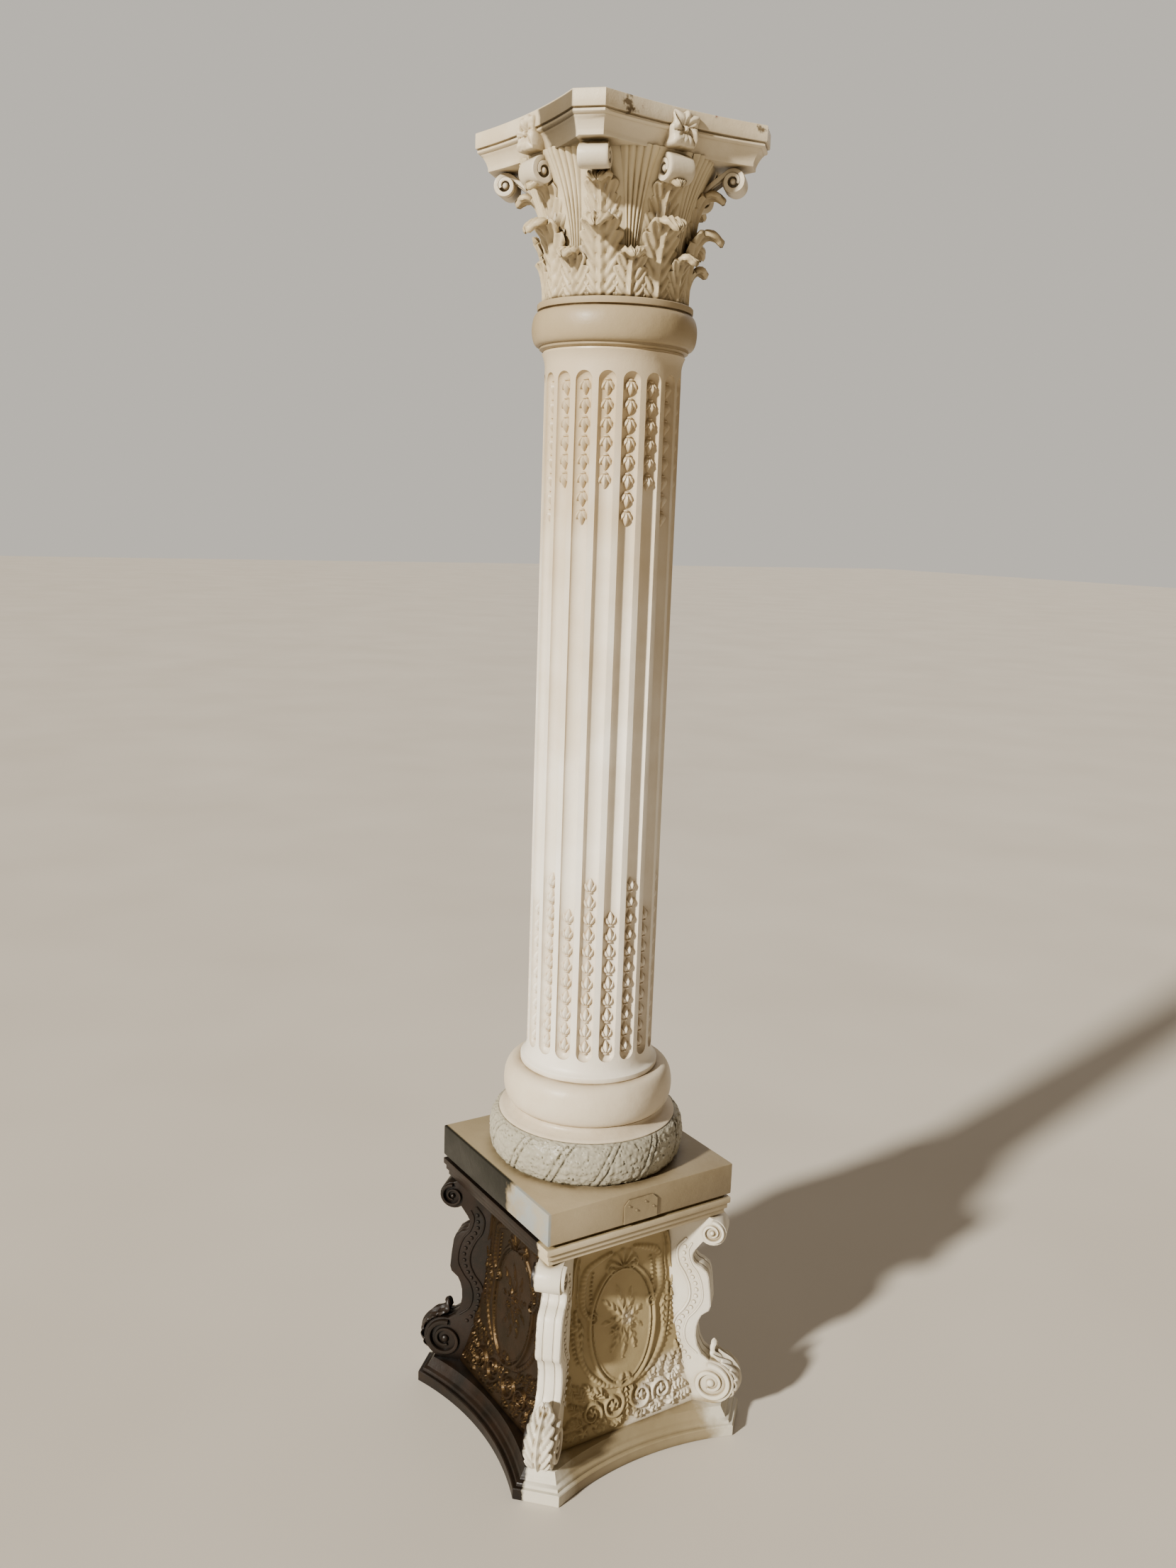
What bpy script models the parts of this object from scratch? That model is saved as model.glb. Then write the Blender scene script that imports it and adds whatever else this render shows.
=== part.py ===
"""A carved garden column on a scrolled pedestal.

Metres, +Z up. The column stands on its origin, the middle of its underside, and
its four sides face -X, +X, -Y and +Y. From the floor up it is made of a pedestal
with four corner consoles, a moulded base on a square plinth, a fluted shaft with
strings of husks in its flutes, and a leafy capital under a horned abacus.
"""
import math
import bpy
import bmesh
from mathutils import Matrix, Vector

# Heights of the courses, in the order in which they are stacked
FOOT_HEIGHT = 0.044
DIE_HEIGHT = 0.346
CORNICE_HEIGHT = 0.0305
BED_HEIGHT = 0.0065
PLINTH_HEIGHT = 0.0545
LOWER_TORUS_HEIGHT = 0.0715
SCOTIA_HEIGHT = 0.017
UPPER_TORUS_HEIGHT = 0.070
SHAFT_HEIGHT = 1.143
NECK_RING_HEIGHT = 0.069
BELL_HEIGHT = 0.194
ABACUS_HEIGHT = 0.054

# The joint that is left between two pieces that stand on each other
JOINT_GAP = 0.0003
# How deep a carved form is rooted in what carries it
ROOT = 0.004

# Foot of the pedestal: a slab with hollowed sides and cut corners, then mouldings
FOOT_CORNER_REACH = 0.284
FOOT_CORNER_HALF_WIDTH = 0.038
FOOT_SIDE_REACH = 0.1965
FOOT_SLAB_HEIGHT = 0.020
FOOT_MOULDING_DEPTH = 0.024
FOOT_CORNER_NARROWING = 0.56
FOOT_SIDE_STEPS = 5

# Die of the pedestal: four hollow panels that flare out to the foot
DIE_TOP_HALF = 0.126
DIE_FLARE = 0.040
DIE_FLARE_POWER = 2.2
DIE_RINGS = 5

# Cornice of the pedestal, and the bed that keeps the plinth off it
CORNICE_HALF = 0.180
CORNICE_STEP = 0.0035
CORNICE_SOFFIT_RISE = 0.008
BED_HALF = 0.172

# Corner consoles: flat scrolled brackets that stand on the diagonals
CONSOLE_WIDTH = 0.042
CONSOLE_BACK_REACH = 0.120
ROLL_RADIUS = 0.024
ROLL_REACH = 0.229
SCROLL_RADIUS = 0.0395
SCROLL_REACH = 0.240
SCROLL_SINK = 0.0015
SCROLL_FACE_MARGIN = 0.004
SCROLL_FACE_RAISE = 0.0025
SCROLL_EYE_RADIUS = 0.010
SCROLL_EYE_RAISE = 0.006
CONSOLE_LEAF_THICKNESS = 0.005
CONSOLE_LEAF_WIDTH = 0.036

# Carving on each panel
MEDALLION_HALF_WIDTH = 0.066
MEDALLION_HALF_HEIGHT = 0.104
MEDALLION_HEIGHT = 0.215
MEDALLION_RIM = 0.0065
MEDALLION_STEPS = 14
BOUQUET_RADIUS = 0.017
BOUQUET_RAISE = 0.008
FOLIAGE_RADIUS = 0.027
FOLIAGE_SPREAD = 0.028
FOLIAGE_HEIGHT = 0.087
FOLIAGE_THICKNESS = 0.0065
FOLIAGE_STEPS = 8
CREST_RADIUS = 0.026
CREST_RAISE = 0.008

# Plinth and round mouldings under the shaft
PLINTH_HALF = 0.180
LOWER_TORUS_RADIUS = 0.165
LOWER_TORUS_NECK = 0.146
SCOTIA_TOP_RADIUS = 0.129
UPPER_TORUS_RADIUS = 0.142
UPPER_TORUS_NECK = 0.121
BASE_STEPS = 28

# Shaft
SHAFT_RADIUS = 0.105
SHAFT_FOOT_RADIUS = 0.115
SHAFT_FOOT_HEIGHT = 0.010
SHAFT_APOPHYGE_HEIGHT = 0.020
SHAFT_TOP_RADIUS = 0.110
SHAFT_TOP_FLARE_HEIGHT = 0.016
FLUTE_COUNT = 18
FLUTE_WIDTH = 0.027
FLUTE_DEPTH = 0.0095
FLUTE_BOTTOM = 0.033
FLUTE_TOP = 0.033
FLUTE_FIRST_ANGLE = math.radians(-127.0)
FLUTE_CUTTER_SIDES = 8
SHAFT_STEPS = 36

# Strings of husks that hang from the flutes' heads and climb from their feet
HUSK_PITCH = 0.027
HUSK_STRING_WIDTH = 0.017
HUSK_STRING_RAISE = 0.0065
HUSK_END_GAP = 0.010
LONG_HEAD_STRING = 8
SHORT_HEAD_STRING = 6
LONG_FOOT_STRING = 11
SHORT_FOOT_STRING = 9

# Ring between the shaft and the capital
NECK_GROOVE_RADIUS = 0.108
NECK_COLLAR_RADIUS = 0.114
NECK_RING_RADIUS = 0.1265
NECK_TOP_RADIUS = 0.119
NECK_TOP_HEIGHT = 0.011

# Bell of the capital
BELL_FOOT_RADIUS = 0.102
BELL_LIP_RADIUS = 0.146
BELL_STEPS = 24
BELL_RINGS = 3
# A quarter of a step keeps the leaves' midribs off the bell's own edges
BELL_TWIST = math.pi / (2 * BELL_STEPS)

# Leaves: how high their bend stands on the bell, how far the tip reaches, half width
LEAVES_IN_A_ROW = 8
UPPER_LEAF_FOOT_SHARE = 0.25
TOP_LEAF_FOOT_SHARE = 0.8
LOWER_LEAF_HEIGHT = 0.063
LOWER_LEAF_REACH = 0.143
LOWER_LEAF_HALF_WIDTH = 0.038
UPPER_LEAF_HEIGHT = 0.107
UPPER_LEAF_REACH = 0.163
UPPER_LEAF_HALF_WIDTH = 0.037
TOP_LEAF_HEIGHT = 0.150
TOP_LEAF_REACH = 0.168
TOP_LEAF_HALF_WIDTH = 0.030
LEAF_THICKNESS = 0.009
LEAF_STATIONS = 5
TOP_LEAF_STATIONS = 4
# Stations lie closer together towards the tip, where the leaf bends
LEAF_CROWDING = 0.8
BROKEN_LEAF_LENGTH = 0.68
BROKEN_LEAF_PLACE = 3
LEAF_PROUD = 0.006

# Scrolls under the abacus, wider at the middle of each side than at the corners
CORNER_SCROLL_REACH = 0.173
CORNER_SCROLL_WIDTH = 0.044
SIDE_SCROLL_REACH = 0.146
SIDE_SCROLL_WIDTH = 0.058
VOLUTE_RADIUS = 0.021
VOLUTE_DROP = 0.0195
STEM_FOOT_HEIGHT = 0.095

# Abacus
HORN_REACH = 0.220
HORN_HALF_WIDTH = 0.023
ABACUS_SIDE_REACH = 0.161
ABACUS_MOULDING_DEPTH = 0.019
ABACUS_CORNER_NARROWING = 0.30
ABACUS_FASCIA_HEIGHT = 0.023
ABACUS_SIDE_STEPS = 4
FLEURON_HALF_WIDTH = 0.021
FLEURON_RAISE = 0.011

# Small blank plate on the front of the plinth, held by studs
PLATE_WIDTH = 0.064
PLATE_HEIGHT = 0.040
PLATE_CLIP = 0.009
PLATE_THICKNESS = 0.002
PLATE_MIDDLE = -0.007
PLATE_LIFT = 0.002
STUD_RADIUS = 0.0022
STUD_RAISE = 0.0015

# Heights above the floor that follow from the courses
DIE_FOOT = FOOT_HEIGHT
DIE_TOP = DIE_FOOT + DIE_HEIGHT
CORNICE_TOP = DIE_TOP + CORNICE_HEIGHT
PEDESTAL_TOP = CORNICE_TOP + BED_HEIGHT
PLINTH_TOP = PEDESTAL_TOP + PLINTH_HEIGHT
SCOTIA_FOOT = PLINTH_TOP + LOWER_TORUS_HEIGHT
UPPER_TORUS_FOOT = SCOTIA_FOOT + SCOTIA_HEIGHT
SHAFT_FOOT = UPPER_TORUS_FOOT + UPPER_TORUS_HEIGHT
NECK_FOOT = SHAFT_FOOT + SHAFT_HEIGHT
CAPITAL_FOOT = NECK_FOOT + NECK_RING_HEIGHT
ABACUS_FOOT = CAPITAL_FOOT + BELL_HEIGHT
COLUMN_TOP = ABACUS_FOOT + ABACUS_HEIGHT

QUARTER = math.pi / 2
CORNER_ANGLES = [math.radians(45) + QUARTER * turn for turn in range(4)]
SIDE_ANGLES = [QUARTER * turn for turn in range(4)]


def clear_scene():
    for thing in list(bpy.data.objects):
        bpy.data.objects.remove(thing, do_unlink=True)


def new_collection(name):
    collection = bpy.data.collections.new(name)
    bpy.context.scene.collection.children.link(collection)
    return collection


def paint(name, colour, roughness):
    """One plain finish: the part's colour, how matt it is, and no metal in it."""
    finish = bpy.data.materials.new(name)
    finish.use_nodes = True
    shader = finish.node_tree.nodes["Principled BSDF"]
    shader.inputs["Base Color"].default_value = (*colour, 1.0)
    shader.inputs["Roughness"].default_value = roughness
    shader.inputs["Metallic"].default_value = 0.0
    return finish


def object_from(name, mesh, collection):
    piece = bpy.data.objects.new(name, mesh)
    collection.objects.link(piece)
    return piece


def tidy_mesh(name, shape):
    """The mesh of a bmesh, welded, with its faces pointing out."""
    bmesh.ops.remove_doubles(shape, verts=shape.verts, dist=0.00001)
    bmesh.ops.recalc_face_normals(shape, faces=shape.faces)
    mesh = bpy.data.meshes.new(name)
    shape.to_mesh(mesh)
    shape.free()
    return mesh


def baked(piece, collection):
    """The piece as a plain welded mesh: its modifiers and its place are taken in."""
    bpy.context.view_layer.update()
    seen = piece.evaluated_get(bpy.context.evaluated_depsgraph_get())
    mesh = bpy.data.meshes.new_from_object(seen)
    shape = bmesh.new()
    shape.from_mesh(mesh)
    shape.transform(piece.matrix_world)
    name = piece.name
    bpy.data.objects.remove(piece, do_unlink=True)
    return object_from(name, tidy_mesh(name, shape), collection)


def turned(name, outline, steps, collection):
    """A shape turned about the Z axis from an outline of (radius, height), top first."""
    mesh = bpy.data.meshes.new(name)
    points = [(radius, 0.0, height) for radius, height in outline]
    mesh.from_pydata(points, [(i, i + 1) for i in range(len(points) - 1)], [])
    piece = object_from(name, mesh, collection)
    screw = piece.modifiers.new("turn", 'SCREW')
    screw.steps = screw.render_steps = steps
    screw.use_merge_vertices = True
    screw.merge_threshold = 0.00001
    screw.use_smooth_shade = False
    return baked(piece, collection)


def upright(angle):
    """The matrix that stands a flat drawing up: its x runs out along the angle, y up."""
    out = Vector((math.cos(angle), math.sin(angle), 0.0))
    up = Vector((0.0, 0.0, 1.0))
    across = out.cross(up)
    return Matrix((out, up, across)).transposed().to_4x4()


def flat_piece(name, outline, width, angle, collection, shift=0.0):
    """A closed outline of (reach, height) as a board of some width, stood up at an angle."""
    curve = bpy.data.curves.new(name, 'CURVE')
    curve.dimensions = '2D'
    curve.fill_mode = 'BOTH'
    curve.extrude = width / 2
    line = curve.splines.new('POLY')
    line.points.add(len(outline) - 1)
    for point, (x, y) in zip(line.points, outline):
        point.co = (x, y, 0.0, 1.0)
    line.use_cyclic_u = True
    piece = object_from(name, curve, collection)
    piece.matrix_world = upright(angle) @ Matrix.Translation((0.0, 0.0, shift))
    return baked(piece, collection)


def rod(name, points, radius, collection, closed=False, sides=0):
    """A rod along points, with four sides or more, and closed ends."""
    curve = bpy.data.curves.new(name, 'CURVE')
    curve.dimensions = '3D'
    curve.bevel_depth = radius
    curve.bevel_resolution = sides
    curve.use_fill_caps = True
    line = curve.splines.new('POLY')
    line.points.add(len(points) - 1)
    for point, place in zip(line.points, points):
        point.co = (*place, 1.0)
    line.use_cyclic_u = closed
    return baked(object_from(name, curve, collection), collection)


def drum(name, radius, width, sides, place, collection, tip=1.0):
    """A drum about its own Z axis; a tip under 1 narrows its upper end."""
    shape = bmesh.new()
    bmesh.ops.create_cone(shape, cap_ends=True, cap_tris=False, segments=sides,
                          radius1=radius, radius2=radius * tip, depth=width, matrix=place)
    return object_from(name, tidy_mesh(name, shape), collection)


def lofted(name, rings, collection):
    """A closed solid whose sides pass through rings of equal count, lowest first."""
    shape = bmesh.new()
    layers = [[shape.verts.new(point) for point in ring] for ring in rings]
    count = len(rings[0])
    shape.faces.new(list(reversed(layers[0])))
    shape.faces.new(layers[-1])
    for low, high in zip(layers, layers[1:]):
        for i in range(count):
            j = (i + 1) % count
            shape.faces.new((low[i], low[j], high[j], high[i]))
    return object_from(name, tidy_mesh(name, shape), collection)


def arc(centre, radius, start, end, steps):
    """Points on an arc in a flat drawing; angles in degrees, both ends included."""
    turn = [math.radians(start + (end - start) * i / steps) for i in range(steps + 1)]
    return [(centre[0] + radius * math.cos(a), centre[1] + radius * math.sin(a)) for a in turn]


def horned_ring(reach, half_width, side_reach, height, steps):
    """A square plan with cut corners and hollow sides, anticlockwise, at one height."""
    corner = Vector((reach + half_width, reach - half_width)) / math.sqrt(2)
    sagitta = corner.x - side_reach
    half = corner.y
    radius = (half * half + sagitta * sagitta) / (2 * sagitta)
    ring = []
    for angle in SIDE_ANGLES:
        turn = Matrix.Rotation(angle, 2)
        for i in range(steps + 1):
            across = half * (2 * i / steps - 1)
            out = side_reach + radius - math.sqrt(radius * radius - across * across)
            spot = turn @ Vector((out, across))
            ring.append((spot.x, spot.y, height))
    return ring


def square_ring(half, height):
    return [(half, -half, height), (half, half, height), (-half, half, height),
            (-half, -half, height)]


def die_half(height):
    """Half the width of the die at a height: it flares out to the foot."""
    share = (DIE_TOP - height) / DIE_HEIGHT
    share = min(max(share, 0.0), 1.0)
    return DIE_TOP_HALF + DIE_FLARE * share ** DIE_FLARE_POWER


def on_panel(across, height, lift=0.0):
    """A point on the -Y panel, lifted off its ground."""
    return Vector((across, -(die_half(height) + lift), height))


def round_about(make, angles):
    """Calls a maker once for each side or corner, and gathers its pieces."""
    return [piece for angle in angles for piece in make(angle)]


def turned_to(piece, angle):
    """Turns a piece that was made on the -Y side to another side."""
    piece.data.transform(Matrix.Rotation(angle, 4, 'Z'))
    return piece


def joined(name, body, pieces, finish, parts, cutters):
    """One solid out of a body and the pieces that grow from it."""
    group = new_collection(name + "_forms")
    for piece in pieces:
        for home in list(piece.users_collection):
            home.objects.unlink(piece)
        group.objects.link(piece)
        piece.hide_render = True
        piece.display_type = 'WIRE'
    cutters.children.link(group)
    bpy.context.scene.collection.children.unlink(group)
    union = body.modifiers.new("join the forms", 'BOOLEAN')
    union.operation = 'UNION'
    union.operand_type = 'COLLECTION'
    union.collection = group
    union.solver = 'EXACT'
    split = body.modifiers.new("split into triangles", 'TRIANGULATE')
    split.quad_method = 'BEAUTY'
    split.ngon_method = 'BEAUTY'
    return finished(name, body, finish, parts)


def finished(name, body, finish, parts):
    """Names a body as its node, gives it its finish and files it with the parts."""
    for home in list(body.users_collection):
        home.objects.unlink(body)
    parts.objects.link(body)
    body.name = name
    body.data.name = name
    body.data.materials.clear()
    body.data.materials.append(finish)
    return body


def foot_of_pedestal(shop):
    """The slab and its mouldings: (inset as a share of the moulding, height)."""
    rest = FOOT_HEIGHT - FOOT_SLAB_HEIGHT
    steps = [(0.0, 0.0), (0.0, FOOT_SLAB_HEIGHT), (0.30, FOOT_SLAB_HEIGHT + 0.06 * rest),
             (0.36, FOOT_SLAB_HEIGHT + 0.24 * rest), (0.62, FOOT_SLAB_HEIGHT + 0.34 * rest),
             (0.72, FOOT_SLAB_HEIGHT + 0.55 * rest), (1.0, FOOT_HEIGHT)]
    rings = []
    for share, height in steps:
        inset = share * FOOT_MOULDING_DEPTH
        rings.append(horned_ring(FOOT_CORNER_REACH - inset,
                                 FOOT_CORNER_HALF_WIDTH - FOOT_CORNER_NARROWING * inset,
                                 FOOT_SIDE_REACH - inset, height, FOOT_SIDE_STEPS))
    return lofted("foot", rings, shop)


def die_and_cornice(shop):
    """The flared die, the stepped cornice above it, and the bed under the plinth."""
    rings = [square_ring(die_half(DIE_FOOT), DIE_FOOT - ROOT)]
    soffit = DIE_TOP - CORNICE_SOFFIT_RISE
    for i in range(DIE_RINGS + 1):
        height = DIE_FOOT + (soffit - ROOT - DIE_FOOT) * i / DIE_RINGS
        rings.append(square_ring(die_half(height), height))
    low = CORNICE_HALF - 2 * CORNICE_STEP
    middle = CORNICE_HALF - CORNICE_STEP
    third = CORNICE_HEIGHT / 3
    lip = 0.06 * CORNICE_HEIGHT
    rings += [square_ring(low - 0.020, soffit + 0.002), square_ring(low, DIE_TOP),
              square_ring(low, DIE_TOP + third - lip), square_ring(middle, DIE_TOP + third),
              square_ring(middle, DIE_TOP + 2 * third - lip),
              square_ring(CORNICE_HALF, DIE_TOP + 2 * third),
              square_ring(CORNICE_HALF, CORNICE_TOP),
              square_ring(BED_HALF, CORNICE_TOP + 0.1 * BED_HEIGHT),
              square_ring(BED_HALF, PEDESTAL_TOP - JOINT_GAP)]
    return lofted("die", rings, shop)


def console_outline():
    """The side view of a console, from its back at the top, round its scrolls."""
    roll = (ROLL_REACH, DIE_TOP - ROLL_RADIUS - 0.004)
    scroll = (SCROLL_REACH, DIE_FOOT + SCROLL_RADIUS - SCROLL_SINK)
    drop = roll[1] - scroll[1]

    def down(share):
        """A height on the way from the roll's centre down to the scroll's centre."""
        return roll[1] - share * drop

    back = [(CONSOLE_BACK_REACH, DIE_FOOT - ROOT / 2), (CONSOLE_BACK_REACH, DIE_TOP + ROOT)]
    top = [(roll[0] - 0.5 * ROLL_RADIUS, DIE_TOP + ROOT)]
    curl = arc(roll, ROLL_RADIUS, 88, -128, 6)
    notch = arc((roll[0] - 0.6 * ROLL_RADIUS, down(0.176)), 0.75 * ROLL_RADIUS, 140, 268, 3)
    shoulder = [(roll[0] - 0.0055, down(0.278)), (roll[0] + 0.003, down(0.505)),
                (roll[0] - 0.0125, down(0.560))]
    hollow = [(roll[0] - 0.019, down(0.625)), (roll[0] - 0.020, down(0.690)),
              (roll[0] - 0.016, down(0.765)), (roll[0] - 0.007, down(0.822))]
    curl_below = arc(scroll, SCROLL_RADIUS, 97, -88, 6)
    heel = [(scroll[0] - SCROLL_RADIUS, DIE_FOOT - ROOT / 2)]
    return back + top + curl + notch + shoulder + hollow + curl_below + heel


def console(angle, shop):
    """A console with its raised scroll faces and the leaf that lies over its scroll."""
    scroll = (SCROLL_REACH, DIE_FOOT + SCROLL_RADIUS - SCROLL_SINK)
    board = flat_piece("console", console_outline(), CONSOLE_WIDTH, angle, shop)
    centre = upright(angle) @ Matrix.Translation((*scroll, 0.0))
    face = drum("scroll_face", SCROLL_RADIUS - SCROLL_FACE_MARGIN,
                CONSOLE_WIDTH + 2 * SCROLL_FACE_RAISE, 10, centre, shop)
    eye = drum("scroll_eye", SCROLL_EYE_RADIUS,
               CONSOLE_WIDTH + 2 * SCROLL_EYE_RAISE, 6, centre, shop)
    outer = arc(scroll, SCROLL_RADIUS + CONSOLE_LEAF_THICKNESS, 104, -28, 5)
    inner = arc(scroll, SCROLL_RADIUS - ROOT, -34, 112, 2)
    leaf = flat_piece("console_leaf", outer + inner, CONSOLE_LEAF_WIDTH, angle, shop)
    return [board, face, eye, leaf]


def panel_carving(angle, shop):
    """The carving of one panel: medallion, bouquet, crest and curled foliage."""
    rim = []
    for i in range(MEDALLION_STEPS):
        turn = 2 * math.pi * i / MEDALLION_STEPS
        rim.append(on_panel(MEDALLION_HALF_WIDTH * math.cos(turn),
                            MEDALLION_HEIGHT + MEDALLION_HALF_HEIGHT * math.sin(turn)))
    pieces = [rod("medallion", rim, MEDALLION_RIM, shop, closed=True)]
    lie_flat = Matrix.Rotation(QUARTER, 4, 'X')
    for name, radius, lift, height, sides in (
            ("bouquet", BOUQUET_RADIUS, BOUQUET_RAISE, MEDALLION_HEIGHT, 7),
            ("crest", CREST_RADIUS, CREST_RAISE,
             MEDALLION_HEIGHT + MEDALLION_HALF_HEIGHT + 0.25 * CREST_RADIUS, 8)):
        middle = on_panel(0.0, height, lift / 2 - ROOT / 2)
        place = Matrix.Translation(middle) @ lie_flat
        pieces.append(drum(name, radius, lift + ROOT, sides, place, shop, tip=0.55))
    for hand in (-1, 1):
        coil = []
        for i in range(FOLIAGE_STEPS):
            turn = math.radians(200 - 56 * i)
            radius = FOLIAGE_RADIUS * (1 - 0.085 * i)
            coil.append(on_panel(hand * (FOLIAGE_SPREAD - radius * math.cos(turn)),
                                 FOLIAGE_HEIGHT + radius * math.sin(turn)))
        pieces.append(rod("foliage", coil, FOLIAGE_THICKNESS, shop))
    return [turned_to(piece, angle) for piece in pieces]


def make_pedestal(finish, parts, shop, cutters):
    forms = [foot_of_pedestal(shop)]
    forms += round_about(lambda angle: console(angle, shop), CORNER_ANGLES)
    forms += round_about(lambda angle: panel_carving(angle, shop), SIDE_ANGLES)
    return joined("pedestal", die_and_cornice(shop), forms, finish, parts, cutters)


def bulge(neck, reach, foot, height, steps):
    """A torus outline from top to bottom between two heights, as (radius, height)."""
    points = []
    for i in range(steps + 1):
        turn = math.pi * (0.5 - i / steps)
        points.append((neck + (reach - neck) * math.cos(turn) ** 0.8,
                       foot + height * (0.5 + 0.5 * math.sin(turn))))
    return points


def make_column_base(finish, parts, shop, cutters):
    """A square plinth, the carved lower torus, a small scotia and the upper torus."""
    top = SHAFT_FOOT - JOINT_GAP
    upper = bulge(UPPER_TORUS_NECK, UPPER_TORUS_RADIUS, UPPER_TORUS_FOOT,
                  UPPER_TORUS_HEIGHT - JOINT_GAP, 6)
    lower = bulge(LOWER_TORUS_NECK, LOWER_TORUS_RADIUS, PLINTH_TOP, LOWER_TORUS_HEIGHT, 6)
    scotia = [(SCOTIA_TOP_RADIUS, UPPER_TORUS_FOOT - 0.002),
              (SCOTIA_TOP_RADIUS + 0.004, SCOTIA_FOOT + 0.45 * SCOTIA_HEIGHT),
              (LOWER_TORUS_NECK + 0.003, SCOTIA_FOOT + 0.12 * SCOTIA_HEIGHT)]
    outline = [(0.0, top)] + upper + scotia + lower + [(0.0, PLINTH_TOP)]
    outline[-2] = (LOWER_TORUS_NECK, PLINTH_TOP - ROOT)
    outline[-1] = (0.0, PLINTH_TOP - ROOT)
    mouldings = turned("mouldings", outline, BASE_STEPS, shop)
    plinth = lofted("plinth", [square_ring(PLINTH_HALF, PEDESTAL_TOP),
                               square_ring(PLINTH_HALF, PLINTH_TOP)], shop)
    return joined("column_base", plinth, [mouldings], finish, parts, cutters)


def shaft_outline():
    """The turned shaft with its foot, its neck ring and the fillet above it."""
    top = CAPITAL_FOOT - JOINT_GAP
    ring_foot = NECK_FOOT + 0.10 * NECK_RING_HEIGHT
    ring_height = top - NECK_TOP_HEIGHT - ring_foot
    ring = bulge(NECK_COLLAR_RADIUS, NECK_RING_RADIUS, ring_foot, ring_height, 5)
    flare_foot = NECK_FOOT - 0.005 - SHAFT_TOP_FLARE_HEIGHT
    foot_top = SHAFT_FOOT + SHAFT_FOOT_HEIGHT
    apophyge = foot_top + SHAFT_APOPHYGE_HEIGHT
    outline = [(0.0, top), (NECK_TOP_RADIUS, top), (NECK_TOP_RADIUS, top - 0.8 * NECK_TOP_HEIGHT)]
    outline += ring
    outline += [(NECK_GROOVE_RADIUS, NECK_FOOT), (SHAFT_TOP_RADIUS, NECK_FOOT - 0.003),
                (SHAFT_RADIUS, flare_foot), (SHAFT_RADIUS, apophyge),
                (SHAFT_FOOT_RADIUS, foot_top), (SHAFT_FOOT_RADIUS, SHAFT_FOOT),
                (0.0, SHAFT_FOOT)]
    return outline


def flute_angle(number):
    return FLUTE_FIRST_ANGLE + 2 * math.pi * number / FLUTE_COUNT


def flute_ends():
    """The heights of the flutes' lower and upper ends."""
    return SHAFT_FOOT + FLUTE_BOTTOM, NECK_FOOT - FLUTE_TOP


def flute_cutter(number, shop):
    """A round rod with domed ends that cuts one flute to its depth and width."""
    half = FLUTE_WIDTH / 2
    radius = (half * half + FLUTE_DEPTH * FLUTE_DEPTH) / (2 * FLUTE_DEPTH)
    centre = SHAFT_RADIUS - FLUTE_DEPTH + radius
    low, high = flute_ends()
    shape = bmesh.new()
    rings = [(low, 0.45), (low + 0.75 * half, 1.0), (high - 0.75 * half, 1.0), (high, 0.45)]
    layers = []
    for height, share in rings:
        middle = centre + (1 - share) * FLUTE_DEPTH * 0.9
        layer = []
        for i in range(FLUTE_CUTTER_SIDES):
            turn = math.pi + 2 * math.pi * (i + 0.5) / FLUTE_CUTTER_SIDES
            layer.append(shape.verts.new((middle + share * radius * math.cos(turn),
                                          share * radius * math.sin(turn), height)))
        layers.append(layer)
    for below, above in zip(layers, layers[1:]):
        for i in range(FLUTE_CUTTER_SIDES):
            j = (i + 1) % FLUTE_CUTTER_SIDES
            shape.faces.new((below[i], below[j], above[j], above[i]))
    shape.faces.new(list(reversed(layers[0])))
    shape.faces.new(layers[-1])
    shape.transform(Matrix.Rotation(flute_angle(number), 4, 'Z'))
    return object_from("flute", tidy_mesh("flute", shape), shop)


def husk_string(number, start, end, shop):
    """A ribbed string of husks as one slim board along the floor of a flute."""
    floor = SHAFT_RADIUS - FLUTE_DEPTH
    half = HUSK_STRING_WIDTH / 2
    taper = HUSK_PITCH * 0.8
    towards = 1 if end > start else -1
    rings = []
    for height, share in ((start, 1.0), (end - towards * taper, 1.0), (end, 0.1)):
        crest = floor + HUSK_STRING_RAISE * share
        rings.append([(floor - ROOT, -half * share, height), (crest, 0.0, height),
                      (floor - ROOT, half * share, height)])
    if towards < 0:
        rings.reverse()
    piece = lofted("husks", rings, shop)
    piece.data.transform(Matrix.Rotation(flute_angle(number), 4, 'Z'))
    return piece


def make_shaft(finish, parts, shop, cutters):
    body = turned("shaft", shaft_outline(), SHAFT_STEPS, shop)
    body.data.transform(Matrix.Rotation(flute_angle(0) + math.pi / SHAFT_STEPS, 4, 'Z'))
    flutes = new_collection("flute_cutters")
    cutters.children.link(flutes)
    bpy.context.scene.collection.children.unlink(flutes)
    low, high = flute_ends()
    strings = []
    for number in range(FLUTE_COUNT):
        cutter = flute_cutter(number, flutes)
        cutter.hide_render = True
        cutter.display_type = 'WIRE'
        head = (LONG_HEAD_STRING, SHORT_HEAD_STRING)[(number + 1) % 2]
        foot = (LONG_FOOT_STRING, SHORT_FOOT_STRING)[number % 2]
        head_start = high - HUSK_END_GAP
        foot_start = low + HUSK_END_GAP
        strings.append(husk_string(number, head_start, head_start - head * HUSK_PITCH, shop))
        strings.append(husk_string(number, foot_start, foot_start + foot * HUSK_PITCH, shop))
    cut = body.modifiers.new("cut the flutes", 'BOOLEAN')
    cut.operation = 'DIFFERENCE'
    cut.operand_type = 'COLLECTION'
    cut.collection = flutes
    cut.solver = 'EXACT'
    return joined("shaft", body, strings, finish, parts, cutters)


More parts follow.
